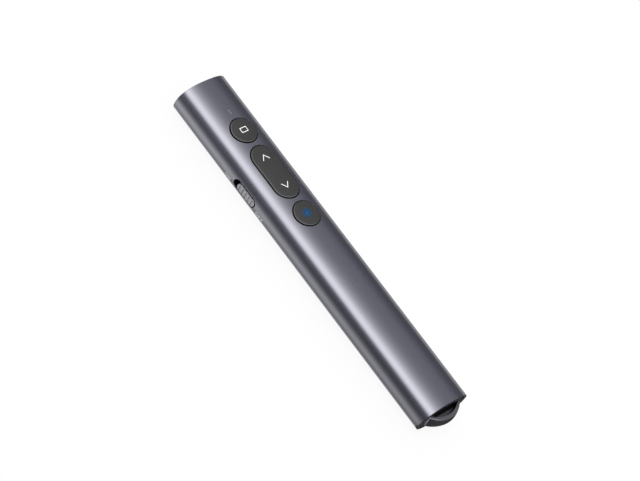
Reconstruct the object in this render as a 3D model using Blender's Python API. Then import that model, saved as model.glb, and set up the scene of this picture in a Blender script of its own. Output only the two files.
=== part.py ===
"""Wireless presenter pen with a laser pointer, as an assembly of separate solids.

The pen frame: x runs from the head end to the tail, z points up through the keys and is zero on the
tube's axis, and the power slider is on the -y side. An empty named pen carries that frame and sets the
pen down on the world's floor, so every piece below is drawn in pen coordinates, in metres.
"""

import math

import bmesh
import bpy
from mathutils import Matrix, Vector

# Clearances shared by all pieces
fit_gap = 0.0003
solder_gap = 0.0002
bearing_gap = 0.00015
cut_overrun = 0.0010
flatness = 0.0000001

# How finely curves are faceted
section_facets = 48
key_facets = 32
round_facets = 24
small_facets = 12
wire_facets = 6

# Dry cell, which sets the height and most of the length of the tube
cell_diameter = 0.0105
cell_length = 0.0445
cell_nub_diameter = 0.0038
cell_nub_height = 0.0010
cell_edge = 0.0004
cell_room = 0.0006

# Tube: an aluminium extrusion whose section is a superellipse
tube_width = 0.0220
tube_wall = 0.0010
section_power = 2.48
end_chamfer = 0.00025

# Front bezel and its window
bezel_recess = 0.0004
bezel_thickness = 0.0015
window_radius = 0.0029
window_thickness = 0.0008
aperture_radius = 0.0020

# Laser module
laser_mount_length = 0.0097
barrel_length = 0.0094
barrel_radius = 0.0032
barrel_bore_radius = 0.0023
barrel_chamfer = 0.0003
retainer_thickness = 0.0011
retainer_aperture_radius = 0.0012
retainer_slot_width = 0.0006
retainer_slot_depth = 0.0004
lens_edge_thickness = 0.0004
lens_crown = 0.0005
diode_can_radius = 0.00145
diode_can_length = 0.0015
diode_flange_thickness = 0.0012
lens_spring_length = 0.0021
lens_spring_radius = 0.0016
lens_spring_wire_radius = 0.00015
lens_spring_turns = 3
driver_board_radius = 0.0022
driver_board_thickness = 0.0008
mount_rib_length = 0.0017
mount_split = 0.0003
clamp_head_seat = 0.0030
clamp_grip = 0.0027

# Keys
key_side_margin = 0.00573
key_bridge = 0.00156
key_proud = 0.00035
key_edge = 0.00025
key_lip = 0.00043
key_wall = 0.0011
key_roof = 0.0012
key_skirt_drop = 0.00165
key_post_radius = 0.0012
rocker_reach = 0.0062
rocker_pivot_drop = 0.00215
rocker_pin_radius = 0.0005
rocker_pin_cover = 0.0007
rocker_ear_half_length = 0.0013
rocker_ear_depth = 0.0009

# Indicator slit, its light pipe and lamp
slit_length = 0.0029
slit_width = 0.0006
slit_setback = 0.0016
slit_to_key = 0.00198
pipe_length = 0.0024
pipe_thickness = 0.0003
pipe_foot_length = 0.0026
pipe_foot_width = 0.0016
pipe_foot_height = 0.0008
lamp_length = 0.0016
lamp_width = 0.0008
lamp_height = 0.0006
lamp_setback = 0.0003

# Circuit board and what is soldered to it
board_drop = 0.00445
board_thickness = 0.0010
board_lead_in = 0.0006
board_tail = 0.0022
tact_side = 0.0044
tact_height = 0.0014
tact_bore_depth = 0.0011
plunger_radius = 0.0010
plunger_length = 0.0013
plunger_stand = 0.0007
chip_side = 0.0040
chip_height = 0.0009
crystal_length = 0.0032
crystal_width = 0.0025
crystal_height = 0.0008
crystal_offset = 0.0028
screw_head_radius = 0.0012
screw_head_height = 0.0007
screw_shank_radius = 0.0005
screw_grip = 0.0028
screw_offset = 0.0032
post_radius = 0.0017
lead_radius = 0.0003
lead_spread = 0.0009
lead_drop = 0.0015
lead_reach = 0.0055

# Power slider and its switch
slot_length = 0.0115
slot_height = 0.0039
slot_drop = 0.0001
slider_length = 0.0094
slider_sink = 0.00005
slider_edge = 0.00025
slider_rib_count = 5
slider_rib_pitch = 0.00166
slider_groove_width = 0.0005
slider_groove_depth = 0.0003
slider_plate_thickness = 0.0006
slider_plate_rim = 0.0005
slider_plate_end = 0.0010
slider_fork_length = 0.0010
slider_fork_thickness = 0.0008
switch_case_length = 0.0076
switch_case_depth = 0.0028
switch_case_height = 0.0020
switch_case_inset = 0.0028
lever_width = 0.0013
lever_height = 0.0008
lever_length = 0.0022
lever_stand = 0.0010

# Chassis and key frame
rail_wall = 0.0013
ledge_width = 0.0008
tray_floor = 0.00115
frame_roof = 0.00195
bulkhead_thickness = 0.0015
cradle_window_half_width = 0.0035
post_root = 0.0004

# Battery contacts
contact_thickness = 0.0003
contact_half_width = 0.0030
contact_half_height = 0.0025
contact_tab_half_width = 0.0020
contact_tab_reach = 0.0016
strip_width = 0.0016
strip_offset = 0.0056
strip_overlap = 0.0027
plate_half_height = 0.0035
spring_length = 0.0035
spring_wire_radius = 0.0003
spring_small_radius = 0.0020
spring_large_radius = 0.0036
spring_turns = 3

# Receiver bay and magnet
bay_length = 0.0155
bay_floor = 0.0020
magnet_radius = 0.0030
magnet_thickness = 0.0011
magnet_backing = 0.0005

# Receiver: plug, pull tab and connector
plug_depth = 0.0060
scoop_depth = 0.0038
scoop_half_width = 0.0080
scoop_half_height = 0.0041
scoop_lower_half_width = 0.0076
scoop_floor_drop = 0.0010
tab_radius = 0.01272
tab_inner_radius = 0.01076
tab_stand = 0.00406
tab_half_height = 0.0024
tab_drop = 0.0005
tab_half_width = 0.0087
tab_bulge = 0.0010
tab_sink = 0.0002
usb_width = 0.0120
usb_height = 0.0045
usb_wall = 0.0003
usb_corner = 0.0005
usb_tip_gap = 0.0008
usb_root_depth = 0.0012
usb_latch_side = 0.0022
usb_latch_spacing = 0.0052
usb_latch_setback = 0.0055
tongue_thickness = 0.0013
tongue_setback = 0.0006
receiver_board_thickness = 0.0006
receiver_chip_side = 0.0030
receiver_chip_height = 0.0006

# Shares of the sizes that they follow
crown_ring_shares = (0.75, 0.5, 0.25)
tab_profile_shares = (-1.0, -0.7, -0.35, 0.0, 0.35, 0.7, 1.0)
lens_ring_shares = (0.2, 0.5, 0.8, 1.0)

# Section sizes that follow from the cell and the wall
bore_half_height = cell_diameter / 2 + cell_room
bore_half_width = tube_width / 2 - tube_wall
tube_half_width = tube_width / 2
tube_half_height = bore_half_height + tube_wall
insert_half_width = bore_half_width - fit_gap
insert_half_height = bore_half_height - fit_gap
cell_radius = cell_diameter / 2
key_hole_radius = tube_half_width - key_side_margin

# Stations along the tube, from the head end to the tail
bezel_back = bezel_recess + bezel_thickness
mount_front = bezel_back + fit_gap
mount_back = mount_front + laser_mount_length
barrel_front = mount_front + (laser_mount_length - barrel_length) / 2
driver_board_front = mount_back + fit_gap
board_front = driver_board_front + driver_board_thickness + board_lead_in
frame_front = mount_back + fit_gap
slit_x = frame_front + slit_setback
lamp_x = board_front + lamp_setback + lamp_length / 2
menu_x = slit_x + slit_length / 2 + slit_to_key + key_hole_radius
rocker_x = menu_x + 2 * key_hole_radius + key_bridge + rocker_reach
laser_key_x = rocker_x + rocker_reach + 2 * key_hole_radius + key_bridge
board_back = laser_key_x + key_hole_radius + board_tail
bulkhead_front = board_back + fit_gap
bulkhead_back = bulkhead_front + bulkhead_thickness
contact_front = bulkhead_back + fit_gap
cell_front = contact_front + contact_thickness + fit_gap
cell_back = cell_front + cell_length
spring_front = cell_back + fit_gap
chassis_back = spring_front + spring_length
plate_front = chassis_back + fit_gap
bay_front = plate_front + contact_thickness + fit_gap
bay_back = bay_front + bay_length
plug_front = bay_back + fit_gap
tube_length = plug_front + plug_depth
overall_length = tube_length + tab_stand

# Levels above the tube's axis
board_top = bore_half_height - board_drop
board_bottom = board_top - board_thickness
board_half_width = insert_half_width - rail_wall - fit_gap
frame_bottom = board_top + fit_gap
tray_top = board_bottom - fit_gap
tact_bottom = board_top + solder_gap
tact_top = tact_bottom + tact_height
plunger_top = tact_top + plunger_stand
key_lip_radius = key_hole_radius + key_lip
key_cap_radius = key_hole_radius - fit_gap
key_skirt_bottom = bore_half_height - key_skirt_drop
key_roof_under = tube_half_height + key_proud - key_roof
rocker_pivot_z = bore_half_height - rocker_pivot_drop
contact_tab_bottom = board_top + solder_gap

# Power slider: it rests at the tail end of its slot
slot_x = rocker_x
slot_z = -slot_drop
slider_travel = slot_length - slider_length - 2 * fit_gap
slider_x = slot_x + slider_travel / 2
slider_plate_outer = insert_half_width - slider_plate_thickness
slider_plate_half_height = slot_height / 2 + slider_plate_rim
slider_plate_half_length = slider_length / 2 + slider_plate_end
lever_z = board_bottom - solder_gap - switch_case_height / 2

finishes = {
    "anodised aluminium": ((0.130, 0.130, 0.155), 0.32, 1.0),
    "black plastic": ((0.020, 0.020, 0.023), 0.55, 0.0),
    "dark grey plastic": ((0.045, 0.045, 0.052), 0.45, 0.0),
    "key plastic": ((0.055, 0.056, 0.053), 0.60, 0.0),
    "slider plastic": ((0.300, 0.300, 0.320), 0.45, 0.0),
    "tinted window": ((0.030, 0.010, 0.012), 0.08, 0.0),
    "clear plastic": ((0.700, 0.720, 0.740), 0.12, 0.0),
    "brass": ((0.780, 0.570, 0.240), 0.30, 1.0),
    "steel": ((0.620, 0.620, 0.640), 0.28, 1.0),
    "spring steel": ((0.560, 0.560, 0.580), 0.25, 1.0),
    "green laminate": ((0.020, 0.120, 0.050), 0.50, 0.0),
    "red insulation": ((0.450, 0.020, 0.015), 0.45, 0.0),
    "black insulation": ((0.015, 0.015, 0.015), 0.45, 0.0),
    "cell jacket": ((0.060, 0.120, 0.300), 0.35, 0.2),
}


def clear_scene():
    for thing in list(bpy.data.objects):
        bpy.data.objects.remove(thing, do_unlink=True)


def finish_material(piece_name, finish):
    colour, roughness, metallic = finishes[finish]
    material = bpy.data.materials.new(piece_name + "_" + finish.replace(" ", "_"))
    material.use_nodes = True
    shader = material.node_tree.nodes["Principled BSDF"]
    shader.inputs["Base Color"].default_value = (*colour, 1.0)
    shader.inputs["Roughness"].default_value = roughness
    shader.inputs["Metallic"].default_value = metallic
    return material


# Outlines and rings

def section_height(half_width, half_height, across):
    """Height of the superellipse section at a distance from its middle."""
    share = min(1.0, abs(across) / half_width)
    return half_height * (1.0 - share ** section_power) ** (1.0 / section_power)


def section(half_width, half_height):
    """Superellipse in the y-z plane, turned by half a facet so that it has a flat underside."""
    points = []
    for step in range(section_facets):
        angle = 2 * math.pi * (step + 0.5) / section_facets
        across, up = math.cos(angle), math.sin(angle)
        y = half_width * math.copysign(abs(across) ** (2 / section_power), across)
        z = half_height * math.copysign(abs(up) ** (2 / section_power), up)
        points.append((y, z))
    return points


def insert_section():
    """Outline shared by all pieces that slide into the tube."""
    return section(insert_half_width, insert_half_height)


def section_above(half_width, half_height, level):
    """The part of the section above a level, closed by a straight line."""
    reach = section_height(half_height, half_width, level)
    arch = [(y, z) for y, z in section(half_width, half_height) if z > level]
    arch.sort(key=lambda point: -point[0])
    return [(reach, level)] + arch + [(-reach, level)]


def stadium(radius, reach=0.0, facets=key_facets):
    """A circle, or two half circles whose centres lie reach from the middle."""
    points = []
    for step in range(facets):
        angle = 2 * math.pi * (step + 0.5) / facets
        centre = math.copysign(reach, math.cos(angle))
        points.append((centre + radius * math.cos(angle), radius * math.sin(angle)))
    return points


def rectangle(low, high):
    return [(low[0], low[1]), (high[0], low[1]), (high[0], high[1]), (low[0], high[1])]


def rounded_rectangle(half_width, half_height, corner):
    points = []
    corner_steps = 4
    for quarter in range(4):
        for step in range(corner_steps):
            angle = math.pi / 2 * (quarter + step / (corner_steps - 1))
            side = math.copysign(half_width - corner, math.cos(math.pi / 2 * (quarter + 0.5)))
            top = math.copysign(half_height - corner, math.sin(math.pi / 2 * (quarter + 0.5)))
            points.append((side + corner * math.cos(angle), top + corner * math.sin(angle)))
    return points


def ring_x(outline, x):
    return [(x, y, z) for y, z in outline]


def ring_y(outline, y):
    return [(x, y, z) for x, z in outline]


def ring_z(outline, z, centre=(0.0, 0.0)):
    return [(centre[0] + x, centre[1] + y, z) for x, y in outline]


# Meshes

def lies_flat(face):
    """Whether all corners of a face lie in its plane."""
    middle = face.calc_center_median()
    return all(abs((corner.co - middle).dot(face.normal)) < flatness for corner in face.verts)


def loft(rings, closed=False):
    """Skin through rings of points, with flat ends, or joined end to end when closed."""
    build = bmesh.new()
    rows = [[build.verts.new(point) for point in ring] for ring in rings]
    followers = rows[1:] + rows[:1] if closed else rows[1:]
    for row, follower in zip(rows, followers):
        for index in range(len(row)):
            after = (index + 1) % len(row)
            build.faces.new((row[index], row[after], follower[after], follower[index]))
    if not closed:
        build.faces.new(rows[0])
        build.faces.new(rows[-1])
    bmesh.ops.recalc_face_normals(build, faces=build.faces)
    bmesh.ops.triangulate(build, faces=[face for face in build.faces if not lies_flat(face)])
    mesh = bpy.data.meshes.new("mesh")
    build.to_mesh(mesh)
    build.free()
    return mesh


def box(low, high):
    outline = rectangle(low[1:], high[1:])
    return loft([ring_x(outline, low[0]), ring_x(outline, high[0])])


def block(centre, half_size):
    """A box given by its middle and half its size each way."""
    low = [middle - half for middle, half in zip(centre, half_size)]
    high = [middle + half for middle, half in zip(centre, half_size)]
    return box(low, high)


def bar_x(outline, start, end):
    return loft([ring_x(outline, start), ring_x(outline, end)])


def bar_z(outline, centre, start, end):
    return loft([ring_z(outline, start, centre), ring_z(outline, end, centre)])


def turned_x(profile, facets=round_facets, closed=False):
    """A profile of (x, radius) pairs turned about the tube's axis."""
    return loft([ring_x(stadium(radius, facets=facets), x) for x, radius in profile], closed)


def turned_z(profile, centre, facets=small_facets):
    """A profile of (z, radius) pairs turned about an upright axis."""
    return loft([ring_z(stadium(radius, facets=facets), z, centre) for z, radius in profile])


def round_y(radius, centre_x, centre_z, start, end, facets=small_facets):
    outline = [(centre_x + x, centre_z + z) for x, z in stadium(radius, facets=facets)]
    return loft([ring_y(outline, start), ring_y(outline, end)])


def wire(points, radius, reference):
    """A round wire along points; reference is a direction that the wire never follows."""
    rings = []
    last = len(points) - 1
    for index, point in enumerate(points):
        ahead = Vector(points[min(index + 1, last)]) - Vector(points[max(index - 1, 0)])
        tangent = ahead.normalized()
        side = Vector(reference) - tangent * tangent.dot(Vector(reference))
        side.normalize()
        other = tangent.cross(side)
        ring = []
        for step in range(wire_facets):
            angle = 2 * math.pi * step / wire_facets
            ring.append(Vector(point) + radius * (math.cos(angle) * side + math.sin(angle) * other))
        rings.append(ring)
    return loft(rings)


def helix(start, end, start_radius, end_radius, turns, steps_per_turn=12):
    points = []
    steps = turns * steps_per_turn
    for step in range(steps + 1):
        share = step / steps
        angle = 2 * math.pi * turns * share
        radius = start_radius + (end_radius - start_radius) * share
        points.append((start + (end - start) * share, radius * math.cos(angle), radius * math.sin(angle)))
    return points


# Objects

def empty(name, place, parent=None):
    marker = bpy.data.objects.new(name, None)
    bpy.context.collection.objects.link(marker)
    marker.location = place
    marker.parent = parent
    return marker


def piece(name, mesh, finish, carrier):
    """A node of the part, drawn in pen coordinates and hung on the empty that carries it."""
    mesh.name = name
    mesh.transform(Matrix.Translation(-carrier_place(carrier)))
    mesh.materials.append(finish_material(name, finish))
    solid = bpy.data.objects.new(name, mesh)
    bpy.context.collection.objects.link(solid)
    solid.parent = carrier
    mesh.shade_smooth()
    mesh.set_sharp_from_angle(angle=math.radians(30))
    return solid


def carrier_place(carrier):
    """Where a carrying empty lies in pen coordinates."""
    return Vector((0, 0, 0)) if carrier.parent is None else Vector(carrier.location)


def tool(name, mesh, carrier):
    """A shape that other pieces are cut or joined with, and that isn't a piece itself."""
    mesh.name = name
    mesh.transform(Matrix.Translation(-carrier_place(carrier)))
    shape = bpy.data.objects.new(name, mesh)
    bpy.context.collection.objects.link(shape)
    shape.parent = carrier
    shape.hide_render = True
    shape.display_type = "WIRE"
    return shape


def combine(solid, shape, operation):
    change = solid.modifiers.new(shape.name, "BOOLEAN")
    change.operation = operation
    change.solver = "EXACT"
    change.object = shape


def cut(solid, *shapes):
    for shape in shapes:
        combine(solid, shape, "DIFFERENCE")


def join(solid, *shapes):
    for shape in shapes:
        combine(solid, shape, "UNION")


# Carrying empties

def add_carriers():
    rest_level = -min(z for y, z in section(tube_half_width, tube_half_height))
    pen = empty("pen", (-overall_length / 2, 0, rest_level))
    carriers = {"pen": pen}
    places = {
        "menu_key_joint": (menu_x, 0, key_skirt_bottom),
        "rocker_joint": (rocker_x, 0, rocker_pivot_z),
        "laser_key_joint": (laser_key_x, 0, key_skirt_bottom),
        "page_up_joint": (rocker_x - rocker_reach, 0, plunger_top),
        "page_down_joint": (rocker_x + rocker_reach, 0, plunger_top),
        "power_joint": (slider_x, -tube_half_width, slot_z),
        "bay_joint": (bay_back, 0, 0),
        "receiver_joint": (tube_length, 0, 0),
    }
    for name, place in places.items():
        carriers[name] = empty(name, place, pen)
    return carriers


# Tube and front bezel

def key_outlines():
    """Middle and reach of each key hole."""
    return (("menu", menu_x, 0.0), ("rocker", rocker_x, rocker_reach), ("laser", laser_key_x, 0.0))


def add_tube(pen):
    skin = section(tube_half_width, tube_half_height)
    eased = section(tube_half_width - end_chamfer, tube_half_height - end_chamfer)
    bore = section(bore_half_width, bore_half_height)
    mesh = loft([
        ring_x(eased, 0),
        ring_x(skin, end_chamfer),
        ring_x(skin, tube_length - end_chamfer),
        ring_x(eased, tube_length),
        ring_x(bore, tube_length),
        ring_x(bore, 0),
    ], closed=True)
    tube = piece("body_tube", mesh, "anodised aluminium", pen)
    above = tube_half_height + cut_overrun
    for name, x, reach in key_outlines():
        cut(tube, tool(name + "_key_hole", bar_z(stadium(key_hole_radius, reach), (x, 0), 0, above), pen))
    slit = stadium(slit_width / 2, (slit_length - slit_width) / 2, small_facets)
    cut(tube, tool("indicator_slit", bar_z(slit, (slit_x, 0), 0, above), pen))
    slot = slot_outline(slot_x, slot_length, slot_height)
    outside = -tube_half_width - cut_overrun
    cut(tube, tool("slider_slot", loft([ring_y(slot, outside), ring_y(slot, 0)]), pen))


def slot_outline(x, length, height):
    """A slot with full round ends, in the x-z plane."""
    outline = stadium(height / 2, (length - height) / 2, round_facets)
    return [(x + along, slot_z + up) for along, up in outline]


def add_bezel(pen):
    bezel = piece("head_bezel", bar_x(insert_section(), bezel_recess, bezel_back), "black plastic", pen)
    seat_depth = window_thickness + fit_gap
    cut(bezel, tool("window_seat", turned_x([
        (bezel_recess - cut_overrun, window_radius + fit_gap),
        (bezel_recess + seat_depth, window_radius + fit_gap),
    ]), pen))
    cut(bezel, tool("laser_aperture", turned_x([
        (bezel_recess, aperture_radius),
        (bezel_back + cut_overrun, aperture_radius),
    ]), pen))
    piece("laser_window", turned_x([
        (bezel_recess, window_radius),
        (bezel_recess + window_thickness, window_radius),
    ]), "tinted window", pen)


# Laser module

def add_laser_module(pen):
    barrel_back = barrel_front + barrel_length
    piece("laser_barrel", turned_x([
        (barrel_front, barrel_radius - barrel_chamfer),
        (barrel_front + barrel_chamfer, barrel_radius),
        (barrel_back, barrel_radius),
        (barrel_back, barrel_bore_radius),
        (barrel_front, barrel_bore_radius),
    ], closed=True), "brass", pen)
    inner_radius = barrel_bore_radius - fit_gap

    ring_front = barrel_front + fit_gap
    ring_back = ring_front + retainer_thickness
    retainer = piece("lens_retainer", turned_x([
        (ring_front, inner_radius),
        (ring_back, inner_radius),
        (ring_back, retainer_aperture_radius),
        (ring_front, retainer_aperture_radius),
    ], closed=True), "brass", pen)
    cut(retainer, tool("retainer_slot", box(
        (ring_front - cut_overrun, -retainer_slot_width / 2, -inner_radius - cut_overrun),
        (ring_front + retainer_slot_depth, retainer_slot_width / 2, inner_radius + cut_overrun)), pen))

    lens_front = ring_back + fit_gap
    lens_back = lens_front + 2 * lens_crown + lens_edge_thickness
    profile = [(lens_front + lens_crown * share ** 2, inner_radius * share) for share in lens_ring_shares]
    profile += [(lens_front + lens_back - x, radius) for x, radius in reversed(profile)]
    piece("collimating_lens", turned_x(profile), "clear plastic", pen)

    spring_start = lens_back + fit_gap + lens_spring_wire_radius
    spring_end = spring_start + lens_spring_length - 2 * lens_spring_wire_radius
    piece("lens_spring", wire(
        helix(spring_start, spring_end, lens_spring_radius, lens_spring_radius, lens_spring_turns),
        lens_spring_wire_radius, (1, 0, 0)), "spring steel", pen)

    can_front = spring_end + lens_spring_wire_radius + fit_gap
    can_back = can_front + diode_can_length
    piece("laser_diode", turned_x([
        (can_front, diode_can_radius),
        (can_back, diode_can_radius),
        (can_back, inner_radius),
        (can_back + diode_flange_thickness, inner_radius),
    ]), "brass", pen)

    piece("laser_driver_board", turned_x([
        (driver_board_front, driver_board_radius),
        (driver_board_front + driver_board_thickness, driver_board_radius),
    ]), "green laminate", pen)
    for colour, side in (("red", 1), ("black", -1)):
        lead = wire(lead_route(side), lead_radius, (0, 1, 0))
        piece("laser_lead_" + colour, lead, colour + " insulation", pen)


def lead_route(side):
    """From the driver board back and up to the underside of the main board, as one Bezier arc."""
    start_x = driver_board_front + driver_board_thickness + fit_gap
    start = Vector((start_x, side * lead_spread, -lead_drop))
    end = Vector((start_x + lead_reach, side * 2 * lead_spread, board_bottom - solder_gap))
    first = start + Vector((lead_reach / 2, 0, -lead_drop))
    second = end - Vector((0, 0, 2 * lead_drop))
    steps = 10
    route = []
    for step in range(steps + 1):
        share = step / steps
        rest = 1 - share
        route.append(start * rest ** 3 + first * 3 * rest ** 2 * share
                     + second * 3 * rest * share ** 2 + end * share ** 3)
    return route


def laser_cradle_tools(pen):
    """The barrel's saddle and the two hollows that leave ribs round it."""
    saddle = tool("barrel_saddle", turned_x([
        (mount_front - cut_overrun, barrel_radius + fit_gap),
        (mount_back + cut_overrun, barrel_radius + fit_gap),
    ]), pen)
    hollow_length = (laser_mount_length - 3 * mount_rib_length) / 2
    outline = section(insert_half_width - 2 * tray_floor, insert_half_height - tray_floor)
    hollows = []
    for index in range(2):
        start = mount_front + mount_rib_length + index * (hollow_length + mount_rib_length)
        hollow = bar_x(outline, start, start + hollow_length)
        hollows.append(tool("mount_hollow_%d" % (index + 1), hollow, pen))
    return [saddle] + hollows


def clamp_screw_places():
    """Beside the barrel, halfway to the tube's wall."""
    offset = (barrel_radius + insert_half_width) / 2
    return [((mount_front + mount_back) / 2, side * offset) for side in (1, -1)]


def add_laser_clamp(pen, cradle_tools):
    """The upper half of the laser's mount, screwed down on the chassis."""
    clamp = piece("laser_clamp", bar_x(section_above(insert_half_width, insert_half_height, mount_split / 2),
                                       mount_front, mount_back), "black plastic", pen)
    cut(clamp, *cradle_tools)
    top = insert_half_height + cut_overrun
    hole_radius = screw_shank_radius + fit_gap
    seat_radius = screw_head_radius + fit_gap
    for number, place in enumerate(clamp_screw_places(), 1):
        hole = turned_z([(0, hole_radius), (top, hole_radius)], place)
        cut(clamp, tool("clamp_screw_hole_%d" % number, hole, pen))
        seat = turned_z([(clamp_head_seat, seat_radius), (top, seat_radius)], place)
        cut(clamp, tool("clamp_screw_seat_%d" % number, seat, pen))
        add_screw("clamp_screw_%d" % number, place, clamp_head_seat + fit_gap, clamp_head_seat + clamp_grip,
                  pen)


def add_screw(name, place, seat, reach, pen):
    """A pan head screw whose head stands on seat and whose shank reaches down from it."""
    piece(name, turned_z([
        (seat - reach, screw_shank_radius),
        (seat, screw_shank_radius),
        (seat, screw_head_radius),
        (seat + screw_head_height / 2, screw_head_radius),
        (seat + screw_head_height, screw_head_radius / 2),
    ], place), "steel", pen)


# Keys

def crown_height(y):
    """Top of a key, which follows the tube a little above its surface."""
    return section_height(tube_half_width + key_proud, tube_half_height + key_proud, y)


def lip_height(y):
    """Top of a key's lip, which follows the inside of the tube."""
    return section_height(insert_half_width, insert_half_height, y)


def ring_over(outline, x, height):
    """A ring whose points lie at the height that a function of y gives."""
    return [(x + along, across, height(across)) for along, across in outline]


def key_cap(x, reach, lip_radius):
    """A hollow cap with a curved top, from the roof's underside round the skirt to the crown."""
    inside = stadium(key_cap_radius - key_wall, reach)
    outside = stadium(key_cap_radius, reach)
    rings = [ring_z(inside, key_roof_under, (x, 0)), ring_z(inside, key_skirt_bottom, (x, 0))]
    if lip_radius > key_cap_radius:
        lip = stadium(lip_radius, reach)
        rings += [ring_z(lip, key_skirt_bottom, (x, 0)), ring_over(lip, x, lip_height)]
        rings.append(ring_over(outside, x, lip_height))
    else:
        rings.append(ring_z(outside, key_skirt_bottom, (x, 0)))
    rings.append(ring_over(outside, x, lambda y: crown_height(y) - key_edge))
    rings.append(ring_over(stadium(key_cap_radius - key_edge, reach), x, crown_height))
    for share in crown_ring_shares:
        rings.append(ring_over(stadium(key_cap_radius * share, reach), x, crown_height))
    return loft(rings)


def key_post(name, x, carrier):
    """The post under a key's roof that meets a switch."""
    top = key_roof_under + key_roof / 2
    bottom = plunger_top + fit_gap
    return tool(name, turned_z([(bottom, key_post_radius), (top, key_post_radius)], (x, 0)), carrier)


def add_round_key(name, x, carrier):
    key = piece(name, key_cap(x, 0.0, key_lip_radius), "key plastic", carrier)
    join(key, key_post(name + "_post", x, carrier))


def rocker_pin_reach():
    """How far the pin goes to each side, a cover's thickness short of the key frame's outside."""
    return section_height(insert_half_height, insert_half_width, rocker_pivot_z) - rocker_pin_cover


def add_rocker(carrier, pen):
    """The page key: it tips on a pin, so only its straight sides have a lip."""
    rocker = piece("rocker_key", key_cap(rocker_x, rocker_reach, key_cap_radius), "key plastic", carrier)
    lip_top = lip_height(key_lip_radius)
    skirt_middle = key_cap_radius - key_wall / 2
    ear_bottom = rocker_pivot_z - rocker_ear_depth
    for side, word in ((1, "left"), (-1, "right")):
        near, far = sorted((side * skirt_middle, side * key_lip_radius))
        join(rocker, tool("rocker_lip_" + word, box(
            (rocker_x - rocker_reach, near, key_skirt_bottom),
            (rocker_x + rocker_reach, far, lip_top)), carrier))
        join(rocker, tool("rocker_ear_" + word, box(
            (rocker_x - rocker_ear_half_length, near, ear_bottom),
            (rocker_x + rocker_ear_half_length, far, lip_top)), carrier))
        join(rocker, key_post("rocker_post_" + word, rocker_x + side * rocker_reach, carrier))
    hole_end = key_lip_radius + cut_overrun
    hole = round_y(rocker_pin_radius + bearing_gap, rocker_x, rocker_pivot_z, -hole_end, hole_end)
    cut(rocker, tool("rocker_pin_hole", hole, carrier))
    reach = rocker_pin_reach()
    piece("rocker_pin", round_y(rocker_pin_radius, rocker_x, rocker_pivot_z, -reach, reach), "steel", pen)


def add_plunger(name, x, carrier):
    piece(name, turned_z([
        (plunger_top - plunger_length, plunger_radius),
        (plunger_top, plunger_radius),
    ], (x, 0)), "black plastic", carrier)


def add_keys(carriers):
    add_round_key("menu_key", menu_x, carriers["menu_key_joint"])
    add_rocker(carriers["rocker_joint"], carriers["pen"])
    add_round_key("laser_key", laser_key_x, carriers["laser_key_joint"])
    switches = (
        ("menu", menu_x, "menu_key_joint"),
        ("page_up", rocker_x - rocker_reach, "page_up_joint"),
        ("page_down", rocker_x + rocker_reach, "page_down_joint"),
        ("laser", laser_key_x, "laser_key_joint"),
    )
    for name, x, joint in switches:
        add_plunger(name + "_plunger", x, carriers[joint])
        case = piece(name + "_switch", block(
            (x, 0, (tact_bottom + tact_top) / 2),
            (tact_side / 2, tact_side / 2, tact_height / 2)), "steel", carriers["pen"])
        bore = plunger_radius + fit_gap
        cut(case, tool(name + "_switch_bore", turned_z([
            (tact_top - tact_bore_depth, bore),
            (tact_top + cut_overrun, bore),
        ], (x, 0)), carriers["pen"]))


# Circuit board and the parts on it

def board_screw_places():
    """Between the keys and behind the last one, on alternate sides of the middle."""
    bridge_middle = key_hole_radius + key_bridge / 2
    return [
        (menu_x + bridge_middle, screw_offset),
        (laser_key_x - bridge_middle, -screw_offset),
        (laser_key_x + bridge_middle, screw_offset),
    ]


def add_board(pen):
    board = piece("main_board", box(
        (board_front, -board_half_width, board_bottom),
        (board_back, board_half_width, board_top)), "green laminate", pen)
    hole = screw_shank_radius + fit_gap
    for number, place in enumerate(board_screw_places(), 1):
        cut(board, tool("board_hole_%d" % number, turned_z([
            (board_bottom - cut_overrun, hole),
            (board_top + cut_overrun, hole),
        ], place), pen))
        seat = board_top + fit_gap
        add_screw("board_screw_%d" % number, place, seat, board_thickness + screw_grip, pen)
    piece("status_lamp", block(
        (lamp_x, 0, board_top + solder_gap + lamp_height / 2),
        (lamp_length / 2, lamp_width / 2, lamp_height / 2)), "clear plastic", pen)
    below = board_bottom - solder_gap
    piece("radio_chip", block(
        (laser_key_x, 0, below - chip_height / 2),
        (chip_side / 2, chip_side / 2, chip_height / 2)), "black plastic", pen)
    piece("crystal_can", block(
        (laser_key_x - chip_side, crystal_offset, below - crystal_height / 2),
        (crystal_length / 2, crystal_width / 2, crystal_height / 2)), "steel", pen)


def add_light_pipe(pen):
    foot_bottom = board_top + solder_gap + lamp_height + fit_gap
    pipe = piece("light_pipe", block(
        (slit_x, 0, (foot_bottom + tube_half_height) / 2),
        (pipe_length / 2, pipe_thickness / 2, (tube_half_height - foot_bottom) / 2)), "clear plastic", pen)
    foot_x = slit_x + pipe_foot_length - pipe_length
    join(pipe, tool("light_pipe_foot", block(
        (foot_x, 0, foot_bottom + (pipe_foot_height - pipe_thickness) / 2),
        (pipe_foot_length / 2, pipe_foot_width / 2, pipe_foot_height / 2)), pen))


# Power slider and slide switch

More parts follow.
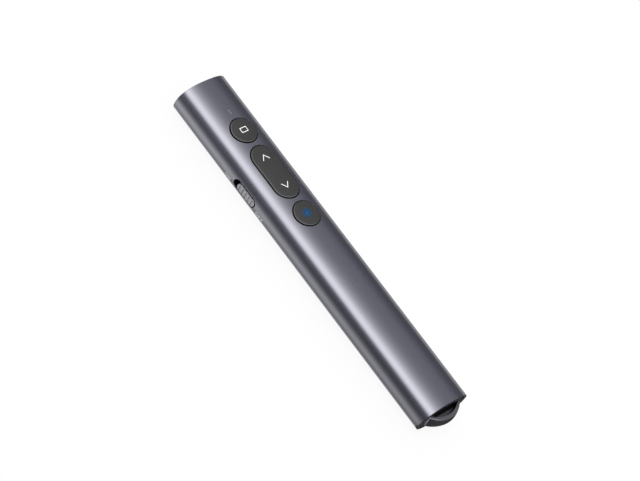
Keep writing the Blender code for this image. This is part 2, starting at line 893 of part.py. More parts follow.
def add_slider(carrier, pen):
    """A ribbed thumb piece in the side slot, with a plate behind the wall and a fork on the lever."""
    half_length, half_height = slider_length / 2, slot_height / 2 - fit_gap
    reach = half_length - half_height

    def face_ring(inset):
        """A ring of the thumb piece's outer face, flush with the tube's side."""
        ring = []
        for along, up in stadium(half_height - inset, reach, round_facets):
            z = slot_z + up
            side = section_height(tube_half_height, tube_half_width, z) - slider_sink
            ring.append((slider_x + along, -side, z))
        return ring

    root = [(slider_x + along, slot_z + up) for along, up in stadium(half_height, reach, round_facets)]
    plate_inner = slider_plate_outer - slider_plate_thickness
    edge_ring = [(x, y + slider_edge, z) for x, y, z in face_ring(0.0)]
    face_rings = [face_ring(slider_edge)]
    face_rings += [face_ring(half_height * (1 - share)) for share in crown_ring_shares]
    slider = piece("power_slider", loft([
        ring_y(root, -(slider_plate_outer + plate_inner) / 2),
        edge_ring,
    ] + face_rings), "slider plastic", carrier)
    plate = rectangle((slider_x - slider_plate_half_length, slot_z - slider_plate_half_height),
                      (slider_x + slider_plate_half_length, slot_z + slider_plate_half_height))
    join(slider, tool("slider_plate", loft([
        ring_y(plate, -slider_plate_outer),
        ring_y(plate, -plate_inner),
    ]), carrier))
    groove_floor = tube_half_width - slider_sink - slider_groove_depth
    for number in range(slider_rib_count):
        x = slider_x + (number - (slider_rib_count - 1) / 2) * slider_rib_pitch
        cut(slider, tool("slider_groove_%d" % (number + 1), box(
            (x - slider_groove_width / 2, -tube_half_width - cut_overrun, slot_z - slot_height),
            (x + slider_groove_width / 2, -groove_floor, slot_z + slot_height)), carrier))
    fork_near = lever_width / 2 + fit_gap
    fork_far = fork_near + slider_fork_thickness
    for side, word in ((1, "rear"), (-1, "front")):
        near, far = sorted((slider_x + side * fork_near, slider_x + side * fork_far))
        join(slider, tool("slider_fork_" + word, box(
            (near, -(slider_plate_outer + plate_inner) / 2, lever_z - lever_height / 2),
            (far, -(plate_inner - slider_fork_length), lever_z + lever_height / 2)), carrier))

    case_front = insert_half_width - switch_case_inset + fit_gap
    case = piece("slide_switch", box(
        (slot_x - switch_case_length / 2, -case_front, lever_z - switch_case_height / 2),
        (slot_x + switch_case_length / 2, -case_front + switch_case_depth, lever_z + switch_case_height / 2)),
        "steel", pen)
    lever_back = case_front + lever_stand - lever_length
    run = (lever_width + slider_travel) / 2 + fit_gap
    cut(case, tool("lever_slot", box(
        (slot_x - run, -case_front - cut_overrun, lever_z - lever_height / 2 - fit_gap),
        (slot_x + run, -lever_back + fit_gap, lever_z + lever_height / 2 + fit_gap)), pen))
    piece("switch_lever", box(
        (slider_x - lever_width / 2, -case_front - lever_stand, lever_z - lever_height / 2),
        (slider_x + lever_width / 2, -lever_back, lever_z + lever_height / 2)), "black plastic", carrier)


def strip_room(pen):
    """Groove for the return strip through the chassis and, where the pen is narrow, the key frame."""
    return tool("strip_groove", box(
        (board_back - strip_overlap - fit_gap, strip_offset - fit_gap, contact_tab_bottom - solder_gap),
        (chassis_back + cut_overrun, strip_offset + strip_width + fit_gap, insert_half_height + cut_overrun)),
        pen)


def slider_window(pen):
    """Room in the chassis and the key frame for the slider's plate and its travel."""
    half_length = slider_plate_half_length + slider_travel / 2 + fit_gap
    half_height = slider_plate_half_height + fit_gap
    inner = insert_half_width - rail_wall - ledge_width - fit_gap
    return tool("slider_window", box(
        (slot_x - half_length, -insert_half_width - cut_overrun, slot_z - half_height),
        (slot_x + half_length, -inner, slot_z + half_height)), pen)


# Chassis and key frame

def add_chassis(pen, cradle_tools, window, groove):
    """The lower carrier: laser mount, board tray, bulkhead and the two rails beside the cell."""
    chassis = piece("chassis", bar_x(insert_section(), mount_front, chassis_back), "black plastic", pen)
    side = insert_half_width + cut_overrun
    top = insert_half_height + cut_overrun
    cut(chassis, tool("mount_upper_half", box((mount_front - cut_overrun, -side, -mount_split / 2),
                                              (mount_back, side, top)), pen))
    cut(chassis, tool("above_tray", box((mount_back - cut_overrun, -side, board_top),
                                        (bulkhead_front, side, top)), pen))
    rail_inside = board_half_width + fit_gap
    cut(chassis, tool("board_bed", box((mount_back - cut_overrun, -rail_inside, tray_top),
                                       (bulkhead_front, rail_inside, top)), pen))
    hollow = section(rail_inside - ledge_width, insert_half_height - tray_floor)
    cut(chassis, tool("tray_hollow", bar_x(hollow, mount_back, board_back), pen))
    cut(chassis, *cradle_tools)
    cut(chassis, window)

    past = chassis_back + cut_overrun
    cradle_radius = cell_radius + fit_gap
    cut(chassis, tool("cell_cradle", turned_x([(bulkhead_back, cradle_radius), (past, cradle_radius)],
                                              key_facets), pen))
    cut(chassis, tool("cradle_window", box((bulkhead_back - fit_gap, -cradle_window_half_width, -top),
                                           (past, cradle_window_half_width, top)), pen))
    cut(chassis, tool("contact_tab_slot", box(
        (bulkhead_front - cut_overrun, -contact_tab_half_width - fit_gap, contact_tab_bottom - fit_gap),
        (bulkhead_back + cut_overrun, contact_tab_half_width + fit_gap,
         contact_tab_bottom + contact_thickness + fit_gap)), pen))
    cut(chassis, groove)

    post_foot = -insert_half_height + tray_floor - post_root
    for number, place in enumerate(board_screw_places(), 1):
        join(chassis, tool("screw_post_%d" % number, turned_z([
            (post_foot, post_radius),
            (tray_top, post_radius),
        ], place, round_facets), pen))
        pilot = screw_shank_radius + fit_gap
        shank_end = board_top - board_thickness - screw_grip
        cut(chassis, tool("screw_pilot_%d" % number, turned_z([
            (shank_end - fit_gap, pilot),
            (tray_top + cut_overrun, pilot),
        ], place), pen))
    for number, place in enumerate(clamp_screw_places(), 1):
        pilot = screw_shank_radius + fit_gap
        cut(chassis, tool("clamp_pilot_%d" % number, turned_z([
            (-clamp_grip, pilot),
            (cut_overrun, pilot),
        ], place), pen))


def add_key_frame(pen, window, groove):
    """The upper carrier: two side rails that hold the rocker's pin, joined before and behind the keys."""
    frame = piece("key_frame", bar_x(section_above(insert_half_width, insert_half_height, frame_bottom),
                                     frame_front, board_back), "black plastic", pen)
    hollow = section(insert_half_width - rail_wall, insert_half_height - frame_roof)
    cut(frame, tool("frame_hollow", bar_x(hollow, frame_front - cut_overrun, board_back + cut_overrun), pen))
    key_room = key_lip_radius + fit_gap
    cut(frame, tool("key_window", box(
        (menu_x - key_room, -key_room, 0),
        (laser_key_x + key_room, key_room, insert_half_height + cut_overrun)), pen))
    reach = rocker_pin_reach() + fit_gap
    bearing = rocker_pin_radius + bearing_gap
    cut(frame, tool("pin_bearings", round_y(bearing, rocker_x, rocker_pivot_z, -reach, reach), pen))
    cut(frame, tool("pipe_slot", block(
        (slit_x, 0, insert_half_height),
        (slit_length / 2, pipe_thickness / 2 + fit_gap, frame_roof + cut_overrun)), pen))
    cut(frame, window, groove)


# Cell and contacts

def add_power(carriers):
    pen, bay = carriers["pen"], carriers["bay_joint"]
    nub_radius = cell_nub_diameter / 2
    shoulder = cell_front + cell_nub_height
    piece("battery_cell", turned_x([
        (cell_front, nub_radius),
        (shoulder, nub_radius),
        (shoulder, cell_radius - cell_edge),
        (shoulder + cell_edge, cell_radius),
        (cell_back - cell_edge, cell_radius),
        (cell_back, cell_radius - cell_edge),
    ], key_facets), "cell jacket", pen)

    plate_middle = contact_front + contact_thickness / 2
    tab_top = contact_tab_bottom + contact_thickness
    contact = piece("positive_contact", block(
        (plate_middle, 0, 0),
        (contact_thickness / 2, contact_half_width, contact_half_height)), "spring steel", pen)
    join(contact, tool("positive_tab", box(
        (board_back - contact_tab_reach, -contact_tab_half_width, contact_tab_bottom),
        (plate_middle, contact_tab_half_width, tab_top)), pen))
    piece("return_strip", box(
        (board_back - strip_overlap, strip_offset, contact_tab_bottom),
        (chassis_back, strip_offset + strip_width, tab_top)), "spring steel", pen)

    plate_reach = strip_offset + strip_width
    piece("negative_plate", box(
        (plate_front, -plate_reach, -plate_half_height),
        (plate_front + contact_thickness, plate_reach, plate_half_height)), "spring steel", bay)
    piece("battery_spring", wire(
        helix(spring_front + spring_wire_radius, chassis_back - spring_wire_radius,
              spring_small_radius, spring_large_radius, spring_turns),
        spring_wire_radius, (1, 0, 0)), "spring steel", bay)


# Receiver bay and receiver

def usb_room():
    """Half sizes of the space round the connector's shell."""
    return usb_width / 2 + fit_gap, usb_height / 2 + fit_gap


def add_bay(carrier):
    """The block between the cell and the receiver, which pulls out to change the cell."""
    bay = piece("receiver_bay", bar_x(insert_section(), bay_front, bay_back), "black plastic", carrier)
    half_width, half_height = usb_room()
    floor = bay_front + bay_floor
    cut(bay, tool("usb_cavity", box((floor, -half_width, -half_height),
                                    (bay_back + cut_overrun, half_width, half_height)), carrier))
    pocket = magnet_radius + fit_gap
    seat = bay_front + magnet_backing
    cut(bay, tool("magnet_pocket", turned_x([(seat, pocket), (floor + magnet_backing, pocket)]), carrier))
    magnet_front = seat + fit_gap
    piece("receiver_magnet", turned_x([
        (magnet_front, magnet_radius),
        (magnet_front + magnet_thickness, magnet_radius),
    ]), "steel", carrier)


def arc_points(radius, centre_x, root_x, steps=24):
    """An arc about a point on the axis, from one side of root_x round the tail to the other."""
    limit = math.acos((root_x - centre_x) / radius)
    points = []
    for step in range(steps + 1):
        angle = limit * (2 * step / steps - 1)
        points.append((centre_x + radius * math.cos(angle), radius * math.sin(angle)))
    return points


def add_receiver(carrier):
    body = bar_x(insert_section(), plug_front, tube_length)
    plug = piece("receiver_plug", body, "dark grey plastic", carrier)
    centre_x = tube_length + tab_stand - tab_radius
    tab_root = tube_length - tab_sink
    rings = []
    for share in tab_profile_shares:
        radius = tab_radius - tab_bulge * share ** 2
        arc = arc_points(radius, centre_x, tab_root)
        clipped = [(x, max(-tab_half_width, min(tab_half_width, y))) for x, y in arc]
        rings.append(ring_z(clipped, tab_half_height * share - tab_drop))
    join(plug, tool("pull_tab", loft(rings), carrier))

    tab_top = tab_half_height - tab_drop
    scoop_back = tube_length - scoop_depth
    upper = section_above(scoop_half_width, scoop_half_height, tab_top - fit_gap)
    cut(plug, tool("scoop_upper", bar_x(upper, scoop_back, tube_length + tab_stand), carrier))
    bend_x = centre_x + math.sqrt(tab_inner_radius ** 2 - scoop_lower_half_width ** 2)
    lower = [(scoop_back, scoop_lower_half_width), (scoop_back, -scoop_lower_half_width)]
    lower += arc_points(tab_inner_radius, centre_x, bend_x)
    cut(plug, tool("scoop_lower", loft([
        ring_z(lower, -scoop_floor_drop),
        ring_z(lower, tab_top + cut_overrun),
    ]), carrier))
    half_width, half_height = usb_room()
    shell_back = plug_front + usb_root_depth
    cut(plug, tool("usb_socket", box((plug_front - cut_overrun, -half_width, -half_height),
                                     (shell_back + fit_gap, half_width, half_height)), carrier))
    add_connector(carrier, shell_back)


def add_connector(carrier, shell_back):
    shell_front = bay_front + bay_floor + usb_tip_gap
    outside = rounded_rectangle(usb_width / 2, usb_height / 2, usb_corner)
    inside = rounded_rectangle(usb_width / 2 - usb_wall, usb_height / 2 - usb_wall, usb_corner - usb_wall)
    shell = piece("usb_shell", loft([
        ring_x(outside, shell_front),
        ring_x(outside, shell_back),
        ring_x(inside, shell_back),
        ring_x(inside, shell_front),
    ], closed=True), "steel", carrier)
    for side, word in ((1, "left"), (-1, "right")):
        cut(shell, tool("latch_hole_" + word, block(
            (shell_front + usb_latch_setback, side * usb_latch_spacing / 2, 0),
            (usb_latch_side / 2, usb_latch_side / 2, usb_height)), carrier))
    inner_half_width = usb_width / 2 - usb_wall - fit_gap
    tongue_front = shell_front + tongue_setback
    tongue_bottom = -usb_height / 2 + usb_wall + fit_gap
    tongue_top = tongue_bottom + tongue_thickness
    piece("usb_tongue", box(
        (tongue_front, -inner_half_width, tongue_bottom),
        (plug_front, inner_half_width, tongue_top)), "black plastic", carrier)
    board_level = tongue_top + fit_gap
    piece("receiver_board", box(
        (tongue_front, -inner_half_width, board_level),
        (shell_back - fit_gap, inner_half_width, board_level + receiver_board_thickness)),
        "green laminate", carrier)
    chip_bottom = board_level + receiver_board_thickness + solder_gap
    piece("receiver_chip", block(
        (plug_front - receiver_chip_side, 0, chip_bottom + receiver_chip_height / 2),
        (receiver_chip_side / 2, receiver_chip_side / 2, receiver_chip_height / 2)), "black plastic", carrier)


def main():
    clear_scene()
    carriers = add_carriers()
    pen = carriers["pen"]
    add_tube(pen)
    add_bezel(pen)
    add_laser_module(pen)
    cradle_tools = laser_cradle_tools(pen)
    add_laser_clamp(pen, cradle_tools)
    add_keys(carriers)
    add_board(pen)
    add_light_pipe(pen)
    add_slider(carriers["power_joint"], pen)
    window = slider_window(pen)
    groove = strip_room(pen)
    add_chassis(pen, cradle_tools, window, groove)
    add_key_frame(pen, window, groove)
    add_power(carriers)
    add_bay(carriers["bay_joint"])
    add_receiver(carriers["receiver_joint"])


main()
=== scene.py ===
import math

import bmesh
import bpy
from mathutils import Matrix, Vector


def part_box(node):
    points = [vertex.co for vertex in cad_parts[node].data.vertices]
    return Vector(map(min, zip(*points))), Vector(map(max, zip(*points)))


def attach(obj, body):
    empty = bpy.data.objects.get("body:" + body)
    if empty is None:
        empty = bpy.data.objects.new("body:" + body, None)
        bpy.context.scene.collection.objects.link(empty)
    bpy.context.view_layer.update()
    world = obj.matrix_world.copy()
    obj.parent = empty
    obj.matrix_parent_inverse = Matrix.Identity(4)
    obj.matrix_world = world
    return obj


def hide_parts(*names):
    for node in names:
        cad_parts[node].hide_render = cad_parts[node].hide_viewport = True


# The dressed presenter pen. Meshes are drawn in pen coordinates, in metres: x runs from the head end to
# the tail, z points up through the keys, and the power slider is on the -y side.

bl_info = {
    "name": "Presenter pen",
    "version": (1, 0, 0),
    "blender": (4, 5, 0),
    "location": "3D View > Sidebar > Pen",
    "description": "Builds the visible pieces of a presenter pen round its CAD frame",
    "category": "Add Mesh",
}

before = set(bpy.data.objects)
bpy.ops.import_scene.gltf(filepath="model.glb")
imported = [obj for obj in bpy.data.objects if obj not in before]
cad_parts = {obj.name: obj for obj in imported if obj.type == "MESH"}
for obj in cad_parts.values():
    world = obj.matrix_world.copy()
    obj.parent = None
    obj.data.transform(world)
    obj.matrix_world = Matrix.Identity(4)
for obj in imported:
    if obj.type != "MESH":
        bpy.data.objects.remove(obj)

tube_low, tube_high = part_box("body_tube")
pen_origin = Vector((tube_low.x, 0.0, (tube_low.z + tube_high.z) / 2))
tube_length = tube_high.x - tube_low.x


def node_middle(node):
    """The middle of a CAD node's box, in pen coordinates."""
    low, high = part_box(node)
    return (low + high) / 2 - pen_origin


def node_half(node):
    low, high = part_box(node)
    return (high - low) / 2


# Properties

def length(label, default, description):
    return bpy.props.FloatProperty(
        name=label, description=description, default=default, min=0.0, precision=6,
        subtype="DISTANCE", unit="LENGTH")


def number(label, default, description):
    return bpy.props.IntProperty(name=label, description=description, default=default, min=1)


def factor(label, default, description):
    return bpy.props.FloatProperty(
        name=label, description=description, default=default, min=0.0, max=1.0, subtype="FACTOR")


def colour(label, default, description):
    return bpy.props.FloatVectorProperty(
        name=label, description=description, default=default, size=3, min=0.0, max=1.0, subtype="COLOR")


class PenSizes(bpy.types.PropertyGroup):
    """Sizes of the visible pieces."""

    half_width: length("Half width", (tube_high.y - tube_low.y) / 2, "Tube's middle to its side")
    half_height: length("Half height", (tube_high.z - tube_low.z) / 2, "Tube's middle to its top")
    section_power: bpy.props.FloatProperty(
        name="Section power", description="Power of the superellipse section", default=2.48, min=1.0)
    tube_wall: length("Tube wall", 0.0010, "Thickness of the extrusion's wall")
    tube_edge: length("Tube edge", 0.00012, "Round of the tube's outer end edges")
    rim_round: length("Rim round", 0.00006, "Round of the edges of the key holes and the slots")
    fit_gap: length("Fit gap", 0.0003, "Room between pieces that fit in each other")

    key_hole_radius: length("Key hole radius", 0.00527, "Radius of the round key holes")
    rocker_reach: length("Page key reach", 0.0062, "Middle of the page key to the middle of its round ends")
    key_lip: length("Key lip", 0.00043, "How far a key's lip goes past its hole")
    key_gap: length("Key gap", 0.00042, "Room between a key and its hole")
    key_bevel: length("Key bevel", 0.0002, "Width of the bevel round a key's crown")
    key_bevel_drop: length("Key bevel drop", 0.00016, "How far the bevel falls from the crown")
    key_wall: length("Key wall", 0.0011, "Thickness of a key's skirt")
    key_skirt: length("Key skirt", 0.00135, "Depth of a key's skirt under its lip")
    key_roof: length("Key roof", 0.0012, "Thickness of a key's roof")
    key_proud: length("Key stand", 0.00033, "How far a key's crown stands over the tube")
    key_post_radius: length("Key post radius", 0.0012, "Radius of the posts that press the switches")

    slit_length: length("Slit length", 0.0029, "Length of the indicator slit")
    slit_width: length("Slit width", 0.00045, "Width of the indicator slit")
    slot_length: length("Slot length", 0.0118, "Length of the power slider's slot")
    slot_height: length("Slot height", 0.00407, "Height of the power slider's slot")
    slot_drop: length("Slot drop", 0.000165, "Slot's middle below the tube's middle")
    slider_length: length("Slider length", 0.0093, "Length of the power slider's knob")
    slider_height: length("Slider height", 0.00332, "Height of the power slider's knob")
    slider_drop: length("Slider drop", 0.00039, "Knob's middle below the tube's middle")
    slider_sink: length("Slider sink", 0.00008, "How far the knob lies under the tube's side")
    rib_count: number("Grooves", 5, "Grooves across the power slider")
    rib_pitch: length("Groove pitch", 0.00166, "Distance between the slider's grooves")
    groove_width: length("Groove width", 0.00042, "Width of a groove at its floor")
    groove_depth: length("Groove depth", 0.00042, "Depth of a groove")

    icon_line: length("Icon line", 0.00026, "Line width of the marks on the keys")
    menu_icon_length: length("Menu icon length", 0.00202, "Menu mark, along the pen")
    menu_icon_width: length("Menu icon width", 0.0029, "Menu mark, across the pen")
    menu_icon_shift: length("Menu icon shift", 0.00014, "Menu mark's middle, ahead of the key's middle")
    menu_icon_corner: length("Menu icon corner", 0.00005, "Corner radius of the menu mark")
    chevron_length: length("Chevron length", 0.0020, "Page mark, along the pen")
    chevron_half_width: length("Chevron half width", 0.00150, "Page mark, middle to side")
    chevron_offset: length("Chevron offset", 0.0071, "Page key's middle to a page mark's tip")
    burst_radius: length("Burst radius", 0.00195, "Laser mark's middle to its points")
    letter_height: length("Letter height", 0.0015, "Height of ON and OFF")
    letter_line: length("Letter line", 0.00028, "Line width of ON and OFF")
    letter_drop: length("Letter drop", 0.00245, "Foot of ON and OFF below the tube's middle")
    on_start: length("ON start", 0.0307, "Head end to the word ON")
    off_start: length("OFF start", 0.0482, "Head end to the word OFF")
    mark_thickness: length("Mark thickness", 0.000015, "Thickness of the printed marks")

    tab_top: length("Tab top", 0.0023, "Level of the pull tab's top over the tube's middle")
    tab_depth: length("Tab depth", 0.0033, "How far the pull tab reaches below the tube's middle")
    tab_radius: length("Tab radius", 0.0093, "Outer radius of the pull tab where it stands out most")
    tab_stand: length("Tab stand", 0.00404, "How far the pull tab stands out of the tube")
    rim_radius: length("Tab rim radius", 0.0098, "Outer radius of the pull tab at its top")
    rim_stand: length("Tab rim stand", 0.0035, "How far the pull tab's top stands out of the tube")
    tab_inner_radius: length("Tab inner radius", 0.00968, "Radius of the pull tab's inner side")
    tab_inner_stand: length("Tab inner stand", 0.0022, "How far the tab's inner side lies from the tube")
    facet_width: length("Tab flat width", 0.0006, "Width, at its foot, of the flat between tab and tube")
    facet_taper: factor("Tab flat taper", 0.45, "Share of its width that the flat loses up to its top")
    rim_edge: length("Tab rim edge", 0.00024, "Round of the tab's upper outer edge")
    tab_round: length("Tab round", 0.00016, "Round of the pull tab's edges")
    mouth_half_width: length("Mouth half width", 0.0077, "Middle to side of the mouth over the tab")
    mouth_half_height: length("Mouth half height", 0.0041, "Tube's middle to the mouth's top")
    mouth_edge: length("Mouth edge", 0.0002, "Round of the mouth's edge")
    scoop_half_width: length("Scoop half width", 0.0076, "Middle to side of the scoop")
    scoop_reach: length("Scoop reach", 0.0038, "How far the scoop reaches into the tail piece")
    scoop_floor: length("Scoop floor", 0.0008, "Depth of the scoop's floor below the tube's middle")
    web_stand: length("Step stand", 0.00035, "How far beyond the tube's end the scoop's step starts")


class PenColours(bpy.types.PropertyGroup):
    """Colours of the visible finishes."""

    tube: colour("Tube", (0.240, 0.240, 0.272), "Anodised aluminium of the tube")
    keys: colour("Keys", (0.0246, 0.0246, 0.0237), "Moulded keys")
    slider: colour("Slider", (0.300, 0.300, 0.320), "Power slider")
    tail: colour("Tail piece", (0.026, 0.026, 0.031), "Receiver's plug and pull tab")
    inside: colour("Inner plastic", (0.014, 0.014, 0.016), "Bezel, chassis and bay")
    window: colour("Window", (0.160, 0.012, 0.014), "Tinted window at the head end")
    blade: colour("Indicator", (0.230, 0.230, 0.260), "Light pipe of the indicator")
    print_white: colour("Print", (0.900, 0.900, 0.890), "Marks on the keys and by the switch")
    print_blue: colour("Laser mark", (0.0, 0.080, 0.245), "Mark on the laser key")
    floor: colour("Floor", (0.940, 0.940, 0.940), "Studio floor")


def sizes():
    return bpy.context.scene.pen_sizes


def colours():
    return bpy.context.scene.pen_colours


# Outlines and solids

section_facets = 192    # sides of the superellipse section
crease_angle = 35.0     # degrees; sharper edges aren't shaded smooth
flat_error = 1e-8       # metres; faces flatter than this aren't split into triangles
skin_match = 0.999      # cosine between a face of the tube's skin and the true section
skin_share = 0.985      # share of the height or width at which the skin starts
rim_degrees = (0, 25, 50, 72)
rim_spill = 0.9         # how far a rounded rim's cutter runs on past the surface, in rim rounds


def section_height(half_width, half_height, across):
    """Height of the superellipse section at a distance from its middle."""
    power = sizes().section_power
    share = min(1.0, abs(across) / half_width)
    return half_height * (1.0 - share ** power) ** (1.0 / power)


def section(half_width, half_height):
    """Points (y, z) round the superellipse section."""
    power = 2.0 / sizes().section_power
    points = []
    for step in range(section_facets):
        turn = math.tau * step / section_facets
        across, up = math.cos(turn), math.sin(turn)
        points.append((
            half_width * math.copysign(abs(across) ** power, across),
            half_height * math.copysign(abs(up) ** power, up)))
    return points


def section_above(half_width, half_height, level):
    """The part of the section that lies above a level."""
    reach = section_height(half_height, half_width, level)
    points = [point for point in section(half_width, half_height) if point[1] > level]
    return [(reach, level)] + points + [(-reach, level)]


def stadium(radius, reach=0.0, facets=96):
    """Points (along, across) round a circle, or a slot with full round ends."""
    points = []
    for step in range(facets):
        turn = math.tau * (step + 0.5) / facets
        shift = math.copysign(reach, math.cos(turn))
        points.append((shift + radius * math.cos(turn), radius * math.sin(turn)))
    return points


def rounded_rectangle(half_width, half_height, corner, steps=6):
    points = []
    for quarter in range(4):
        side_x = 1 if quarter in (0, 3) else -1
        side_y = 1 if quarter in (0, 1) else -1
        for step in range(steps + 1):
            turn = math.pi / 2 * (quarter + step / steps)
            points.append((
                side_x * (half_width - corner) + corner * math.cos(turn),
                side_y * (half_height - corner) + corner * math.sin(turn)))
    return points


def quarter_round(radius, steps=4):
    """(inset, depth) pairs round an edge, from the side up to the face."""
    turns = [math.pi / 2 * step / steps for step in range(steps + 1)]
    return [(radius * (1 - math.cos(turn)), radius * (1 - math.sin(turn))) for turn in turns]


def ring_x(outline, x):
    return [(x, y, z) for y, z in outline]


def ring_z(outline, z, x=0.0):
    return [(x + along, across, z) for along, across in outline]


def ring_over(outline, x, height):
    """A ring whose points lie at the height that a function of y gives."""
    return [(x + along, across, height(across)) for along, across in outline]


def lies_flat(face):
    middle = face.calc_center_median()
    return all(abs((vert.co - middle).dot(face.normal)) < flat_error for vert in face.verts)


def loft(rings, closed=False):
    """A solid through rings of equal counts, with flat caps unless it closes on itself."""
    mesh = bmesh.new()
    layers = [[mesh.verts.new(point) for point in ring] for ring in rings]
    pairs = list(zip(layers, layers[1:]))
    if closed:
        pairs.append((layers[-1], layers[0]))
    else:
        mesh.faces.new(layers[0])
        mesh.faces.new(list(reversed(layers[-1])))
    for near, far in pairs:
        for step in range(len(near)):
            after = (step + 1) % len(near)
            mesh.faces.new((near[step], near[after], far[after], far[step]))
    mesh.normal_update()
    bmesh.ops.triangulate(mesh, faces=[face for face in mesh.faces if not lies_flat(face)])
    bmesh.ops.recalc_face_normals(mesh, faces=mesh.faces)
    return mesh


def box(low, high):
    corners = [(low[0], low[1]), (high[0], low[1]), (high[0], high[1]), (low[0], high[1])]
    return loft([ring_z(corners, low[2]), ring_z(corners, high[2])])


def turned_x(profile):
    """A solid of rotation about the pen's axis through (x, radius) pairs."""
    return loft([ring_x(stadium(radius), x) for x, radius in profile])


def edged_rings(half_width, half_height, start, end, start_edge, end_edge):
    """Rings of the section's shape along the pen, drawn in at both ends for rounded edges."""
    edges = [(inset, start + depth) for inset, depth in reversed(quarter_round(start_edge))]
    edges += [(inset, end - depth) for inset, depth in quarter_round(end_edge)]
    return [ring_x(section(half_width - inset, half_height - inset), x) for inset, x in edges]


def solid(name, mesh):
    """Makes an object of a mesh that is drawn in pen coordinates."""
    mesh.transform(Matrix.Translation(pen_origin))
    data = bpy.data.meshes.new(name)
    mesh.to_mesh(data)
    mesh.free()
    thing = bpy.data.objects.new(name, data)
    bpy.context.scene.collection.objects.link(thing)
    return thing


def shape(thing, operation, *meshes):
    """Cuts meshes from a thing, or joins them to it, and keeps the result."""
    tools = [solid("%s_tool_%d" % (thing.name, number), mesh) for number, mesh in enumerate(meshes)]
    for tool in tools:
        modifier = thing.modifiers.new(tool.name, "BOOLEAN")
        modifier.object = tool
        modifier.operation = operation
        modifier.solver = "EXACT"
    bpy.context.view_layer.update()
    shaped = thing.evaluated_get(bpy.context.evaluated_depsgraph_get())
    data = bpy.data.meshes.new_from_object(shaped)
    thing.modifiers.clear()
    thing.data = data
    for tool in tools:
        bpy.data.objects.remove(tool, do_unlink=True)
    if not data.polygons:
        raise RuntimeError("%s has no faces left after its shaping" % thing.name)


def cut(thing, *meshes):
    shape(thing, "DIFFERENCE", *meshes)


def join(thing, *meshes):
    shape(thing, "UNION", *meshes)


def finished(thing, finish, body, *nodes):
    """Gives a piece its finish, smooth shading and its body, and hides the CAD nodes that it stands for."""
    thing.data.materials.clear()
    thing.data.materials.append(finishes[finish])
    thing.data.shade_smooth()
    thing.data.set_sharp_from_angle(angle=math.radians(crease_angle))
    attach(thing, body)
    if nodes:
        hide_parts(*nodes)


def lined(thing, finish, chosen):
    """Gives the faces for which chosen(middle, normal) holds another finish."""
    data = thing.data
    data.materials.append(finishes[finish])
    for face in data.polygons:
        if chosen(face.center - pen_origin, face.normal):
            face.material_index = len(data.materials) - 1


def section_share(half_width, half_height, y, z):
    """1 on the superellipse, less inside it."""
    power = sizes().section_power
    return abs(y / half_width) ** power + abs(z / half_height) ** power


def section_normal(half_width, half_height, y, z):
    power = sizes().section_power - 1
    return Vector((
        0.0,
        math.copysign(abs(y / half_width) ** power, y) / half_width,
        math.copysign(abs(z / half_height) ** power, z) / half_height)).normalized()


def smooth_skin(thing, half_width, half_height):
    """Gives the faces of the skin the section's own normals, so that no facet shows in the metal."""
    data = thing.data
    normals = [Vector(corner.vector) for corner in data.corner_normals]
    for face in data.polygons:
        middle = face.center - pen_origin
        outward = section_normal(half_width, half_height, middle.y, middle.z)
        height = section_height(half_width, half_height, middle.y)
        if face.normal.dot(outward) > skin_match and (
                abs(middle.z) > height * skin_share or abs(middle.y) > half_width * skin_share):
            for corner in face.loop_indices:
                place = data.vertices[data.loops[corner].vertex_index].co - pen_origin
                normals[corner] = section_normal(half_width, half_height, place.y, place.z)
    data.normals_split_custom_set(normals)


def rim_cutter(outline, height, turn, floor, top, rim):
    """A cutter that leaves a rounded rim, which follows the surface that it cuts.

    outline(grow) gives points (along, across), height(across) is the surface, and turn places a point.
    """
    rings = [[turn(along, across, floor) for along, across in outline(0.0)]]
    for lean in map(math.radians, rim_degrees):
        grow = rim * (1 - math.cos(lean))
        sink = rim * (1 - math.sin(lean))
        rings.append([turn(along, across, height(across) - sink) for along, across in outline(grow)])
    spill = rim * rim_spill
    grow += spill * math.sin(lean)
    lift = spill * math.cos(lean) - sink
    rings.append([turn(along, across, height(across) + lift) for along, across in outline(grow)])
    rings.append([turn(along, across, top) for along, across in outline(grow)])
    return loft(rings)


# Procedural finishes

finishes = {}           # every finish by its name
pit_size = 0.00016      # metres; grain of the moulded pieces
pit_depth = 0.000004


class Value:
    """A number that varies over a surface: arithmetic on it adds Math nodes."""

    def __init__(self, nodes, socket):
        self.nodes = nodes
        self.socket = socket

    def math(self, operation, first, second):
        return self.nodes.node("Math", {"operation": operation}, {0: first, 1: second})

    def __add__(self, other):
        return self.math("ADD", self, other)

    def __radd__(self, other):
        return self.math("ADD", other, self)

    def __sub__(self, other):
        return self.math("SUBTRACT", self, other)

    def __rsub__(self, other):
        return self.math("SUBTRACT", other, self)

    def __mul__(self, other):
        return self.math("MULTIPLY", self, other)

    def __rmul__(self, other):
        return self.math("MULTIPLY", other, self)

    def __truediv__(self, other):
        return self.math("DIVIDE", self, other)

    def __pow__(self, other):
        return self.math("POWER", self, other)

    def __gt__(self, other):
        return self.math("GREATER_THAN", self, other)

    def most(self, other):
        return self.math("MAXIMUM", self, other)


